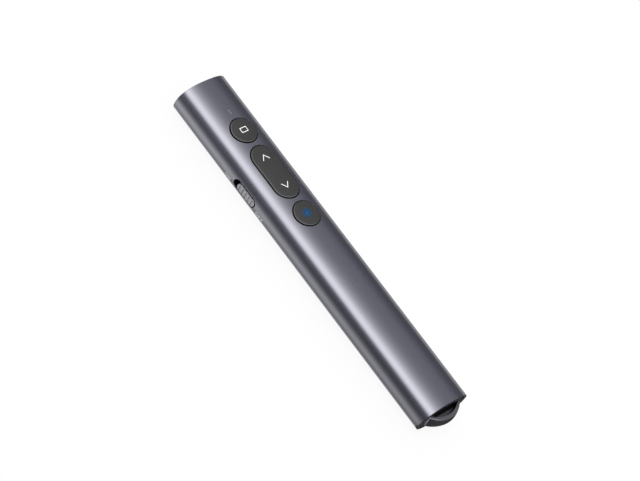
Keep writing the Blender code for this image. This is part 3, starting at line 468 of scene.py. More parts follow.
class Nodes:
    """The nodes of a material or of the world, the shader that they feed, and ways to add more."""

    def __init__(self, owner, shader):
        owner.use_nodes = True
        self.tree = owner.node_tree
        self.shader = self.tree.nodes[shader]

    def feed(self, socket, value):
        self.plug(self.shader.inputs[socket], value)

    def plug(self, socket, value):
        if isinstance(value, Value):
            self.tree.links.new(value.socket, socket)
        elif socket.type == "RGBA" and len(value) == 3:
            socket.default_value = (*value, 1.0)
        else:
            socket.default_value = value

    def node(self, kind, settings=None, sockets=None, output=0):
        """Adds a node: its settings first, then the values or links of its sockets."""
        made = self.tree.nodes.new("ShaderNode" + kind)
        for name, setting in (settings or {}).items():
            if name == "stops":
                stops = made.color_ramp.elements
                while len(stops) < len(setting):
                    stops.new(1.0)
                for stop, (position, tint) in zip(stops, setting):
                    stop.position = position
                    stop.color = (*tint, 1.0)
            else:
                setattr(made, name, setting)
        for key, value in (sockets or {}).items():
            self.plug(made.inputs[key], value)
        return Value(self, made.outputs[output])

    def steps(self, value, low, high):
        """0 below low, 1 above high, and a smooth slope between."""
        return self.node(
            "MapRange", {"interpolation_type": "SMOOTHSTEP"},
            {"Value": value, "From Min": low, "From Max": high})

    def mix(self, share, first, second):
        return self.node("Mix", {"data_type": "RGBA"}, {0: share, 6: first, 7: second}, output=2)

    def rays(self):
        """1 for the camera's rays, for those that gloss sends and for those that glass lets through."""
        return [self.node("LightPath", output="Is %s Ray" % kind) for kind in (
            "Camera", "Glossy", "Transmission")]


class Finish(Nodes):
    """A material: one Principled shader, with what is even on it and what varies over the surface."""

    def __init__(self, name, roughness=0.5, metallic=0.0, even=None):
        self.material = finishes[name] = bpy.data.materials.new(name)
        super().__init__(self.material, "Principled BSDF")
        self.feed("Roughness", roughness)
        self.feed("Metallic", metallic)
        for socket, value in (even or {}).items():
            self.feed(socket, value)

    def place(self):
        """Where a point lies, in metres from its object's origin. A piece's origin is the world's."""
        return self.node("TexCoord", output="Object")

    def axis(self, number):
        """One coordinate of the place: 0 along the pen, 1 across it, 2 up."""
        return self.node("SeparateXYZ", {}, {"Vector": self.place()}, output=number)

    def noise(self, size, stretch=(1.0, 1.0, 1.0), detail=2.0):
        """Noise from 0 to 1 with grains of about a size, drawn out along an axis where stretch is small."""
        at = self.node("Mapping", {}, {"Vector": self.place(), "Scale": stretch})
        return self.node("TexNoise", {}, {"Vector": at, "Scale": 1 / size, "Detail": detail})

    def bump(self, height, distance):
        self.feed("Normal", self.node("Bump", {}, {"Height": height, "Distance": distance, "Strength": 1.0}))


def shade(tint, amount):
    """A colour made lighter or darker by an amount."""
    return tuple(max(0.0, min(1.0, channel * amount)) for channel in tint)


def anodised_finish(name, tint):
    """Satin anodised aluminium: faint extrusion lines under a fine etched grain."""
    finish = Finish(name, metallic=1.0)
    grain = finish.noise(0.00009, detail=3.0)
    lines = finish.noise(0.00022, stretch=(0.01, 1.0, 1.0), detail=3.0)
    cloud = finish.noise(0.012, stretch=(0.4, 1.0, 1.0))
    finish.feed("Base Color", finish.mix(
        cloud * 0.5 + lines * 0.3 + grain * 0.2, shade(tint, 0.94), shade(tint, 1.06)))
    finish.feed("Roughness", 0.235 + grain * 0.05 + lines * 0.01)
    finish.bump(grain * 0.8 + lines * 0.2, 0.0000006)


def moulded_finish(name, tint, roughness, texture=pit_size, depth=pit_depth, gloss=0.5):
    """Moulded plastic: spark-eroded texture, and a slow change of gloss from handling."""
    finish = Finish(name, even={"Specular IOR Level": gloss})
    pits = finish.noise(texture, detail=3.0)
    handling = finish.steps(finish.noise(0.006, detail=1.0), 0.35, 0.7)
    finish.feed("Base Color", finish.mix(
        pits * 0.6 + handling * 0.4, shade(tint, 0.9), shade(tint, 1.12)))
    finish.feed("Roughness", roughness + pits * 0.08 - handling * 0.06)
    finish.bump(pits, depth)


def scoop_finish(name, tint):
    """The scoop's floor, with painted light and shade: a lighter copy of the tail piece's colour, painted
    darker toward the tube and under the tab, where no light reaches it.
    """
    size = sizes()
    finish = Finish(name, roughness=0.6, even={"Specular IOR Level": 0.2})
    along, across = finish.axis(0), finish.axis(1)
    pits = finish.noise(pit_size, detail=3.0)
    centre_x = tube_high.x + size.tab_inner_stand - size.tab_inner_radius
    reach = ((along - centre_x) ** 2 + across ** 2) ** 0.5
    shade_end, light_start = 0.0001, 0.0009
    out = finish.steps(along, tube_high.x + shade_end, tube_high.x + light_start)
    light_end, shade_start = 0.00065, 0.0002
    under = finish.steps(reach, size.tab_inner_radius - light_end, size.tab_inner_radius - shade_start)
    lit = out * (1 - under * 0.85) * (0.8 + pits * 0.2)
    finish.feed("Base Color", finish.mix(lit, shade(tint, 0.05), tint))
    finish.bump(pits, pit_depth)


def edge_highlight_finish(name, plain, bright):
    """The tab's rounded upper edge, with a painted highlight: plain at its far end, and painted lighter
    toward the slider's side.
    """
    finish = Finish(name, roughness=0.42)
    pits = finish.noise(pit_size, detail=3.0)
    bright_end, plain_start = -0.0062, -0.0028
    highlight_share = 1 - finish.steps(finish.axis(1), bright_end, plain_start)
    finish.feed("Base Color", finish.mix(highlight_share * (0.85 + pits * 0.3), plain, bright))
    finish.bump(pits, pit_depth)


def printed_finish(name, tint, painted_glow=0.0, gloss=0.5):
    """Pad-printed ink: a little uneven, with a thin rough skin, and where asked a faint glow of painted
    light.
    """
    finish = Finish(name, even={"Specular IOR Level": gloss})
    speck = finish.noise(0.00012)
    finish.feed("Base Color", finish.mix(speck, shade(tint, 0.92), shade(tint, 1.05)))
    finish.feed("Roughness", 0.42 + speck * 0.12)
    if painted_glow:
        finish.feed("Emission Color", finish.mix(speck, shade(tint, 0.8), tint))
        finish.feed("Emission Strength", painted_glow)
    finish.bump(speck, 0.000002)


def metal_finish(name, tint, roughness, lines=(1.0, 1.0, 1.0)):
    """Drawn, turned or stamped metal: fine lines, and a few duller patches."""
    finish = Finish(name, metallic=1.0)
    scratch = finish.noise(0.0002, stretch=lines, detail=3.0)
    patch = finish.steps(finish.noise(0.0035), 0.45, 0.75)
    finish.feed("Base Color", finish.mix(patch * 0.6 + scratch * 0.4, shade(tint, 1.05), shade(tint, 0.85)))
    finish.feed("Roughness", roughness + scratch * 0.08 + patch * 0.08)
    finish.bump(scratch, 0.0000015)


def laminate_finish(name):
    """Solder mask over glass cloth, with the copper's traces showing lighter through it."""
    finish = Finish(name, even={"Coat Weight": 0.3})
    along = finish.noise(0.0009, stretch=(0.15, 1.0, 1.0), detail=0.0)
    across = finish.noise(0.0011, stretch=(1.0, 0.15, 1.0), detail=0.0)
    trace = finish.steps(along, 0.52, 0.54) * (1 - finish.steps(across, 0.60, 0.62))
    weave = finish.noise(0.0003, stretch=(1.0, 0.4, 1.0), detail=1.0)
    green = finish.mix(weave, (0.012, 0.085, 0.034), (0.018, 0.115, 0.045))
    finish.feed("Base Color", finish.mix(trace, green, (0.035, 0.190, 0.070)))
    finish.feed("Roughness", 0.42 - trace * 0.1 + weave * 0.06)
    finish.bump(trace + weave * 0.2, 0.00002)


def cell_finish(name):
    """Shrink sleeve on a dry cell: dark, with a copper band round its positive end."""
    finish = Finish(name, even={"Coat Weight": 0.4, "Coat Roughness": 0.15})
    low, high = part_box("battery_cell")
    band_share = 0.28
    band = 1 - (finish.axis(0) > low.x + (high.x - low.x) * band_share)
    creases = finish.noise(0.0018, stretch=(1.0, 0.25, 0.25))
    body = finish.mix(creases, (0.018, 0.030, 0.075), (0.026, 0.042, 0.100))
    finish.feed("Base Color", finish.mix(band, body, (0.420, 0.190, 0.070)))
    finish.feed("Metallic", band * 0.8)
    finish.feed("Roughness", 0.3 + creases * 0.12)
    finish.bump(creases, 0.00003)


def clear_finish(name, tint, roughness, transmission, painted_glow=0.0):
    """Clear moulding: polished, with faint flow marks, and where asked a faint glow of painted light."""
    finish = Finish(name, even={"IOR": 1.49, "Transmission Weight": transmission})
    flow = finish.noise(0.0015, stretch=(0.5, 1.0, 1.0))
    finish.feed("Base Color", finish.mix(flow, shade(tint, 0.9), shade(tint, 1.1)))
    finish.feed("Roughness", roughness + flow * 0.04)
    if painted_glow:
        finish.feed("Emission Color", finish.mix(flow, shade(tint, 0.9), tint))
        finish.feed("Emission Strength", painted_glow)
    finish.bump(flow, 0.000005)


class PEN_OT_finishes(bpy.types.Operator):
    """Makes the procedural finishes, and gives them to the CAD nodes that stay"""

    bl_idname = "pen.finishes"
    bl_label = "Finishes"

    def execute(self, context):
        tints = colours()
        anodised_finish("anodised_shell", tints.tube)
        # tube_end: painted shade, the tube's colour darkened for its end faces
        anodised_finish("tube_end", shade(tints.tube, 0.6))
        for name, tint, amount, roughness, other in (
                # tube_inside: painted shade, the tube's colour darkened to 3% for its inner faces
                ("tube_inside", tints.tube, 0.03, 0.7, {"gloss": 0.1}),
                # the next finish: painted shade, less deep, for the hole walls that face -y or the tail and
                # catch more light
                ("lit_hole_wall", tints.tube, 0.4, 0.7, {"gloss": 0.1}),
                ("key_plastic", tints.keys, 1.0, 0.56, {}),
                # The two bevel finishes below: painted highlights, lighter copies of the key plastic for the
                # bevel's faces
                ("key_bevel", (0.106, 0.107, 0.105), 1.0, 0.6, {"depth": pit_depth / 2}),
                ("dim_bevel_highlight", (0.065, 0.066, 0.065), 1.0, 0.6, {"depth": pit_depth / 2}),
                # shaded_plastic: painted shade, the inner plastic darkened for faces that lie in shade
                ("shaded_plastic", tints.inside, 0.14, 0.8, {"gloss": 0.05}),
                ("slider_plastic", tints.slider, 1.0, 0.36, {"texture": 0.00012, "depth": 0.000003}),
                ("tail_plastic", tints.tail, 1.0, 0.36, {}),
                # the next finish: painted light, a copy of the tail plastic three times lighter for the
                # tab's top
                ("tab_rim_lit", tints.tail, 3.0, 0.42, {}),
                # the next finish: painted light, a slightly lighter copy of the tail plastic for the tab's
                # outer side
                ("tab_side_lit", tints.tail, 1.1, 0.36, {}),
                # the next finish: painted highlight, a copy of the tail plastic thirteen times lighter for
                # the flats at the tab's root
                ("tab_flat_highlight", tints.tail, 13.0, 0.4, {}),
                ("black_plastic", tints.inside, 1.0, 0.45, {"texture": 0.00022}),
                ("red_insulation", (0.400, 0.014, 0.010), 1.0, 0.4, {"texture": 0.0004}),
                ("black_insulation", (0.012, 0.012, 0.012), 1.0, 0.4, {"texture": 0.0004})):
            moulded_finish(name, shade(tint, amount), roughness, **other)
        # The tab's upper edge: a painted highlight, lighter toward the slider's side.
        edge_highlight_finish("tab_edge_highlight", shade(tints.tail, 3.0), shade(tints.tail, 8.5))
        # The scoop's floor: painted light, with painted shade toward the tube and under the tab.
        scoop_finish("scoop_floor", shade(tints.tail, 3.7))
        # The white marks glow a little: painted light.
        printed_finish("white_print", tints.print_white, painted_glow=0.3)
        printed_finish("grey_print", shade(tints.print_white, 0.66))
        printed_finish("blue_print", tints.print_blue, gloss=0.05)
        # The laser mark's dot glows a little: painted light.
        printed_finish("blue_dot", shade(tints.print_blue, 1.5), painted_glow=0.1, gloss=0.05)
        metal_finish("brass", (0.780, 0.560, 0.230), 0.24, lines=(0.05, 1.0, 1.0))
        metal_finish("steel", (0.600, 0.600, 0.620), 0.22, lines=(0.08, 1.0, 1.0))
        metal_finish("spring_steel", (0.520, 0.520, 0.545), 0.2)
        metal_finish("gold_plate", (0.860, 0.600, 0.220), 0.2, lines=(0.08, 1.0, 1.0))
        laminate_finish("green_laminate")
        cell_finish("cell_jacket")
        clear_finish("tinted_window", tints.window, 0.06, 0.7)
        # The indicator blade glows faintly: painted light.
        clear_finish("clear_plastic", tints.blade, 0.25, 0.1, painted_glow=0.05)
        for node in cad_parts.values():
            for place in node.material_slots:
                place.material = finishes[place.material.name.split(".")[0]]
        return {"FINISHED"}


# Pieces

overrun = 0.001         # metres; how far a cutter reaches past what it cuts
skim = 0.00002          # metres; keeps two faces out of one plane
bevel_profile = ((0.0, 1.3), (0.0, 1.06), (0.06, 0.94), (0.16, 0.82), (0.86, 0.11), (1.0, 0.0))
crown_shares = (0.88, 0.78, 0.66, 0.54, 0.42, 0.3, 0.18, 0.07)


def inner_half():
    """Half the width and half the height of what slides in the tube."""
    size = sizes()
    return (size.half_width - size.tube_wall - size.fit_gap,
            size.half_height - size.tube_wall - size.fit_gap)


def top_turn(x):
    """Places (along, across, up) on the tube's top."""
    return lambda along, across, up: (x + along, across, up)


def top_height(across):
    size = sizes()
    return section_height(size.half_width, size.half_height, across)


def side_turn(x, drop):
    """Places (along, across, up) on the slider's side of the tube."""
    return lambda along, across, up: (x + along, -up, across - drop)


def side_height(drop):
    """Half the tube's width at a height over a middle that lies a drop below the tube's."""
    size = sizes()
    return lambda across: section_height(size.half_height, size.half_width, across - drop)


def key_hole(node, reach=0.0):
    size = sizes()
    return rim_cutter(
        lambda grow: stadium(size.key_hole_radius + grow, reach, 128), top_height,
        top_turn(node_middle(node).x), 0.0, size.half_height + overrun, size.rim_round)


class PEN_OT_tube(bpy.types.Operator):
    """Makes the aluminium tube with its holes and rounded rims"""

    bl_idname = "pen.tube"
    bl_label = "Tube"

    def execute(self, context):
        size = sizes()
        wide, high, wall = size.half_width, size.half_height, size.tube_wall
        rings = edged_rings(wide, high, 0.0, tube_length, size.tube_edge, size.tube_edge)
        lead = size.tube_edge / 2
        for x, grow in ((tube_length, lead), (tube_length - lead, 0.0), (lead, 0.0), (0.0, lead)):
            rings.append(ring_x(section(wide - wall + grow, high - wall + grow), x))
        tube = solid("tube_shell", loft(rings, closed=True))

        slit_reach = (size.slit_length - size.slit_width) / 2
        slit = rim_cutter(
            lambda grow: stadium(size.slit_width / 2 + grow, slit_reach, 32), top_height,
            top_turn(node_middle("light_pipe").x), 0.0, high + wall, size.rim_round / 2)
        slot_reach = (size.slot_length - size.slot_height) / 2
        slot = rim_cutter(
            lambda grow: stadium(size.slot_height / 2 + grow, slot_reach), side_height(size.slot_drop),
            side_turn(node_middle("rocker_key").x, size.slot_drop), wide / 2, wide + wall, size.rim_round)
        page_hole = key_hole("rocker_key", size.rocker_reach)
        cut(tube, key_hole("menu_key"), key_hole("laser_key"), page_hole, slit, slot)
        finished(tube, "anodised_shell", "handset", "body_tube")

        # Faces are picked by where they lie and by cosines of the way they look.
        under_skin, upward, inward, aside, endways = 0.9975, 0.6, 0.15, 0.2, 0.5
        # Painted shade: the inner faces and the walls of the holes and slots get the near-black tube_inside
        # finish.
        lined(tube, "tube_inside", lambda middle, normal: (
            wall / 2 < middle.x < tube_length - wall / 2
            and section_share(wide, high, middle.y, middle.z) < under_skin
            and (normal.z < upward or normal.y * middle.y < -inward * abs(middle.y))))
        # Painted light and shade: the key hole walls that face -y or the tail get a lighter copy of the
        # tube's dark inner finish.
        lined(tube, "lit_hole_wall", lambda middle, normal: (
            middle.z > high - wall * 1.5 and abs(normal.z) < upward
            and (normal.y < -aside or normal.x > aside)
            and wall * 2 < middle.x < tube_length - wall * 2))
        # Painted shade: the end faces get the darker tube_end finish.
        lined(tube, "tube_end", lambda middle, normal: (
            abs(normal.x) > endways and not size.tube_edge < middle.x < tube_length - size.tube_edge))
        smooth_skin(tube, wide, high)
        return {"FINISHED"}


class PEN_OT_head(bpy.types.Operator):
    """Makes the bezel in the tube's mouth and the window that the beam leaves through"""

    bl_idname = "pen.head"
    bl_label = "Bezel and window"

    def execute(self, context):
        middle, half = node_middle("head_bezel"), node_half("head_bezel")
        front, back = middle.x - half.x, middle.x + half.x
        front_edge, back_edge, glass_edge, beam_radius = 0.0002, 0.0001, 0.00015, 0.002
        groove_gap, groove_width, groove_depth = 0.001, 0.0003, 0.00015
        bezel = solid("front_bezel", loft(edged_rings(half.y, half.z, front, back, front_edge, back_edge)))

        gap = sizes().fit_gap
        glass_half = node_half("laser_window")
        glass_back = node_middle("laser_window").x + glass_half.x
        seat = glass_half.y + gap
        seat_round = [(front + depth, seat + inset) for inset, depth in reversed(quarter_round(glass_edge))]
        cut(bezel, turned_x([
            (front - overrun, seat + 3 * front_edge), (front - front_edge, seat + 2 * front_edge),
            *seat_round, (glass_back + gap, seat)]))
        cut(bezel, turned_x([(front, beam_radius), (back + overrun, beam_radius)]))
        inner, outer = seat + groove_gap, seat + groove_gap + groove_width
        cut(bezel, loft([ring_x(stadium(radius), x) for radius, x in (
            (inner, front - overrun), (outer, front - overrun),
            (outer, front + groove_depth), (inner, front + groove_depth))], closed=True))
        finished(bezel, "black_plastic", "handset", "head_bezel")

        profile = [(front + depth, glass_half.y - inset)
                   for inset, depth in reversed(quarter_round(glass_edge))]
        window = solid("window_glass", turned_x(profile + [(glass_back, glass_half.y)]))
        finished(window, "tinted_window", "handset", "laser_window")
        return {"FINISHED"}


class PEN_OT_indicator(bpy.types.Operator):
    """Makes the clear blade behind the indicator slit"""

    bl_idname = "pen.indicator"
    bl_label = "Indicator"

    def execute(self, context):
        size = sizes()
        middle, half = node_middle("light_pipe"), node_half("light_pipe")
        foot_height, foot_corner, edge, end_gap = 0.0008, 0.0001, 0.00005, 0.00006
        bottom, crown = middle.z - half.z, size.half_height - skim
        thin = size.slit_width / 2 - skim
        reach = (size.slit_length - size.fit_gap) / 2 - end_gap
        shift = middle.x + size.slit_length / 2 - end_gap - reach
        blade = solid("indicator_blade", loft([
            ring_z(rounded_rectangle(*outline), z, x) for outline, z, x in (
                ((half.x - edge, half.y, foot_corner), bottom, middle.x),
                ((half.x, half.y, foot_corner), bottom + foot_height, middle.x),
                ((reach, thin, thin), bottom + foot_height, shift),
                ((reach, thin, thin), crown - edge, shift),
                ((reach - edge, thin - edge, thin - edge), crown, shift))]))
        finished(blade, "clear_plastic", "handset", "light_pipe")
        return {"FINISHED"}


def crown_height(across):
    """Height of a key's crown, which follows the tube's section."""
    size = sizes()
    return section_height(size.half_width + size.key_proud, size.half_height + size.key_proud, across)


def lip_height(across):
    """Height of the top of a key's lip, under the tube's wall."""
    return section_height(*inner_half(), across)


def key_cap(node, reach, lipped):
    """A hollow cap with a rounded top edge, from the roof's underside round the skirt to the crown."""
    size = sizes()
    x = node_middle(node).x
    cap = size.key_hole_radius - size.key_gap
    lip = size.key_hole_radius + size.key_lip
    under = size.half_height + size.key_proud - size.key_roof
    bottom = lip_height(0.0) - size.key_skirt
    inner = stadium(cap - size.key_wall, reach)
    rings = [ring_z(inner, under, x), ring_z(inner, bottom, x)]
    if lipped:
        rings += [ring_z(stadium(lip, reach), bottom, x), ring_over(stadium(lip, reach), x, lip_height)]
        rings.append(ring_over(stadium(cap, reach), x, lip_height))
    else:
        rings.append(ring_z(stadium(cap, reach), bottom, x))
    for inset, depth in bevel_profile:
        rings.append(ring_over(
            stadium(cap - inset * size.key_bevel, reach), x,
            lambda y, drop=depth * size.key_bevel_drop: crown_height(y) - drop))
    rings += [ring_over(stadium(cap * share, reach), x, crown_height) for share in crown_shares]
    return loft(rings)


def line_key(key):
    """Gives a key's bevel a painted highlight, brightest where it faces -y and the tail and dimmer to its
    sides, and paints shade on the walls in the gap round the key.
    """
    size = sizes()
    wall, crown, deepest = 0.2, 0.93, size.key_bevel_drop * 1.2
    bright, dim, brightest = 0.2, -0.2, 1.1
    highlight_way = Vector((0.45, -0.89))

    def on_bevel(middle, normal, low, high):
        if not wall < normal.z < crown or crown_height(middle.y) - middle.z > deepest:
            return False
        return low < Vector((normal.x, normal.y)).normalized().dot(highlight_way) <= high

    # Painted highlight: the bevel's faces that look toward -y and the tail are lighter, those to their sides
    # a little less so.
    lined(key, "key_bevel", lambda middle, normal: on_bevel(middle, normal, bright, brightest))
    lined(key, "dim_bevel_highlight", lambda middle, normal: on_bevel(middle, normal, dim, bright))
    # Painted shade: the key's side walls in the gap get the near-black shaded plastic.
    lined(key, "shaded_plastic", lambda middle, normal: (
        abs(normal.z) < wall and middle.z > size.half_height - size.tube_wall))


def key_post(x, bottom):
    """A turned post under a key's roof, a little thinner at its foot."""
    radius, lead, foot_share = sizes().key_post_radius, 0.0002, 0.85
    top = sizes().half_height + sizes().key_proud - sizes().key_roof / 2
    return loft([ring_z(stadium(wide, facets=48), z, x) for wide, z in (
        (radius * foot_share, bottom), (radius, bottom + lead), (radius, top))])


class PEN_OT_keys(bpy.types.Operator):
    """Makes the menu, page and laser keys"""

    bl_idname = "pen.keys"
    bl_label = "Keys"

    def execute(self, context):
        size = sizes()
        post_bottom = node_middle("menu_plunger").z + node_half("menu_plunger").z + size.fit_gap
        for word in ("menu", "laser"):
            node = word + "_key"
            key = solid(word + "_key_cap", key_cap(node, 0.0, True))
            join(key, key_post(node_middle(node).x, post_bottom))
            finished(key, "key_plastic", word + "_button", node)
            line_key(key)

        x, pin = node_middle("rocker_key").x, node_middle("rocker_pin").z
        ear_half_width, ear_drop, bore_radius = 0.0013, 0.0009, 0.00065
        cap, lip = size.key_hole_radius - size.fit_gap, size.key_hole_radius + size.key_lip
        skirt, top, bottom = cap - size.key_wall / 2, lip_height(lip), lip_height(0.0) - size.key_skirt
        parts = [key_post(x + side * size.rocker_reach, post_bottom) for side in (1, -1)]
        for low, high in ((skirt, lip), (-lip, -skirt)):
            parts.append(box((x - size.rocker_reach, low, bottom), (x + size.rocker_reach, high, top)))
            parts.append(box((x - ear_half_width, low, pin - ear_drop), (x + ear_half_width, high, top)))
        key = solid("page_key_cap", key_cap("rocker_key", size.rocker_reach, False))
        join(key, *parts)
        bore = [(x + along, pin + up) for along, up in stadium(bore_radius, 0.0, 32)]
        cut(key, loft([[(px, y, pz) for px, pz in bore] for y in (-lip - overrun, lip + overrun)]))
        finished(key, "key_plastic", "page_rocker", "rocker_key")
        line_key(key)
        return {"FINISHED"}


# Printed marks

patch_pitch = 0.0002    # metres; widest strip of a printed film between its bends
letter_pitch = 0.00012
weld_distance, split_distance = 1e-7, 1e-9
sharpest_mitre = 0.35   # cosine at which a mitre stops growing
ray_profile = ((0.26, 0.075), (0.72, 0.145), (1.0, 0.055))  # (out, half width), in shares of the radius
dot_share = 0.2                                             # of the same radius
letter_widths = {"O": 0.84, "N": 0.78, "F": 0.68}           # in letter heights, as the gap and bar are
letter_gap, bar_level = 0.24, 0.43
round_share, slant_share, bar_share = 0.46, 1.45, 0.86      # of the O's width, the line and the F's width


def band(points, width, closed=False):
    """Four-cornered patches along a line of points, mitred at its bends."""
    places = [Vector(point) for point in points]
    ways = [(after - here).normalized() for here, after in zip(places, places[1:] + places[:1])]
    if not closed:
        ways[-1] = ways[-2]
    sides = []
    for step, here in enumerate(places):
        behind = ways[step - 1] if closed or step else ways[0]
        normals = [Vector((-way.y, way.x)) for way in (behind, ways[step])]
        mitre = (normals[0] + normals[1]).normalized()
        reach = width / 2 / max(sharpest_mitre, mitre.dot(normals[0]))
        sides.append((here + mitre * reach, here - mitre * reach))
    ends = sides[1:] + sides[:1] if closed else sides[1:]
    return [[near[0], near[1], far[1], far[0]] for near, far in zip(sides, ends)]


def printed(name, patches, height, turn, pitch=patch_pitch):
    """A thin printed film made of flat patches (along, across), laid over a curved surface."""
    film = bmesh.new()
    for patch in patches:
        film.faces.new([film.verts.new((point[0], point[1], 0.0)) for point in patch])
    bmesh.ops.remove_doubles(film, verts=film.verts, dist=weld_distance)
    bmesh.ops.triangulate(film, faces=film.faces)
    low = min(vert.co.y for vert in film.verts)
    high = max(vert.co.y for vert in film.verts)
    for step in range(1, math.ceil((high - low) / pitch)):
        bmesh.ops.bisect_plane(
            film, geom=film.verts[:] + film.edges[:] + film.faces[:], dist=split_distance,
            plane_co=(0.0, low + step * pitch, 0.0), plane_no=(0.0, 1.0, 0.0))
    rim = [edge.verts[:] for edge in film.edges if edge.is_boundary]
    under = {}
    thickness = sizes().mark_thickness
    for vert in film.verts[:]:
        along, across = vert.co.x, vert.co.y
        base = height(across)
        vert.co = turn(along, across, base + thickness)
        under[vert] = film.verts.new(turn(along, across, base - 2 * thickness))
    for face in film.faces[:]:
        film.faces.new([under[vert] for vert in reversed(face.verts)])
    for first, second in rim:
        film.faces.new((first, second, under[second], under[first]))
    bmesh.ops.recalc_face_normals(film, faces=film.faces)
    return solid(name, film)


def key_mark(name, patches, node, finish, body):
    mark = printed(name, patches, crown_height, top_turn(node_middle(node).x))
    finished(mark, finish, body)


def chevron(tip, length, half_width):
    return band([(tip + length, half_width), (tip, 0.0), (tip + length, -half_width)], sizes().icon_line)


def burst_rays(radius, count=8):
    """Rays that are widest near their middle, round an open centre."""
    rays = []
    for number in range(count):
        turn = math.tau * number / count
        way, side = Vector((math.cos(turn), math.sin(turn))), Vector((-math.sin(turn), math.cos(turn)))
        right = [way * radius * out - side * radius * half for out, half in ray_profile]
        left = [way * radius * out + side * radius * half for out, half in reversed(ray_profile)]
        rays.append(right + left)
    return rays


class PEN_OT_key_marks(bpy.types.Operator):
    """Prints the menu, page and laser marks on the keys"""

    bl_idname = "pen.key_marks"
    bl_label = "Key marks"

    def execute(self, context):
        size = sizes()
        line = size.icon_line
        frame_line = [(along - size.menu_icon_shift, across) for along, across in rounded_rectangle(
            (size.menu_icon_length - line) / 2, (size.menu_icon_width - line) / 2, size.menu_icon_corner, 4)]
        key_mark("menu_mark", band(frame_line, line, closed=True), "menu_key", "white_print", "menu_button")
        for word, side in (("up", -1), ("down", 1)):
            key_mark(
                "page_%s_mark" % word,
                chevron(side * size.chevron_offset, -side * size.chevron_length, size.chevron_half_width),
                "rocker_key", "white_print", "page_rocker")
        key_mark("laser_mark", burst_rays(size.burst_radius), "laser_key", "blue_print", "laser_button")
        dot = stadium(size.burst_radius * dot_share, 0.0, 24)
        key_mark("laser_mark_dot", [dot], "laser_key", "blue_dot", "laser_button")
        return {"FINISHED"}


def letter(word, left, line):
    """Outline patches of the letter O, N or F, one unit high, and its width."""
    wide = letter_widths[word]
    if word == "O":
        outline = rounded_rectangle((wide - line) / 2, (1 - line) / 2, (wide - line) * round_share, 6)
        loop = [(left + wide / 2 + along, 0.5 + up) for along, up in outline]
        return band(loop, line, closed=True), wide
    if word == "N":
        slant = line * slant_share
        outline = [(0, 0), (line, 0), (line, 1 - slant), (wide - line, 0), (wide, 0),
                   (wide, 1), (wide - line, 1), (wide - line, slant), (line, 1), (0, 1)]
    else:
        bar_end, bar_top = wide * bar_share, bar_level + line
        outline = [(0, 0), (line, 0), (line, bar_level), (bar_end, bar_level), (bar_end, bar_top),
                   (line, bar_top), (line, 1 - line), (wide, 1 - line), (wide, 1), (0, 1)]
    return [[(left + along, up) for along, up in outline]], wide


class PEN_OT_switch_marks(bpy.types.Operator):
    """Prints ON and OFF beside the power slider's slot"""

    bl_idname = "pen.switch_marks"
    bl_label = "Switch marks"

    def execute(self, context):
        size = sizes()
        tall = size.letter_height
        for word, start in (("ON", size.on_start), ("OFF", size.off_start)):
            patches, left = [], 0.0
            for character in word:
                made, wide = letter(character, left, size.letter_line / tall)
                patches += [[(along * tall, up * tall - size.letter_drop) for along, up in patch]
                            for patch in made]
                left += wide + letter_gap
            mark = printed(
                word.lower() + "_mark", patches, side_height(0.0),
                lambda along, across, up, x=start: (x + along, -up, across), letter_pitch)
            finished(mark, "grey_print", "handset")
        return {"FINISHED"}


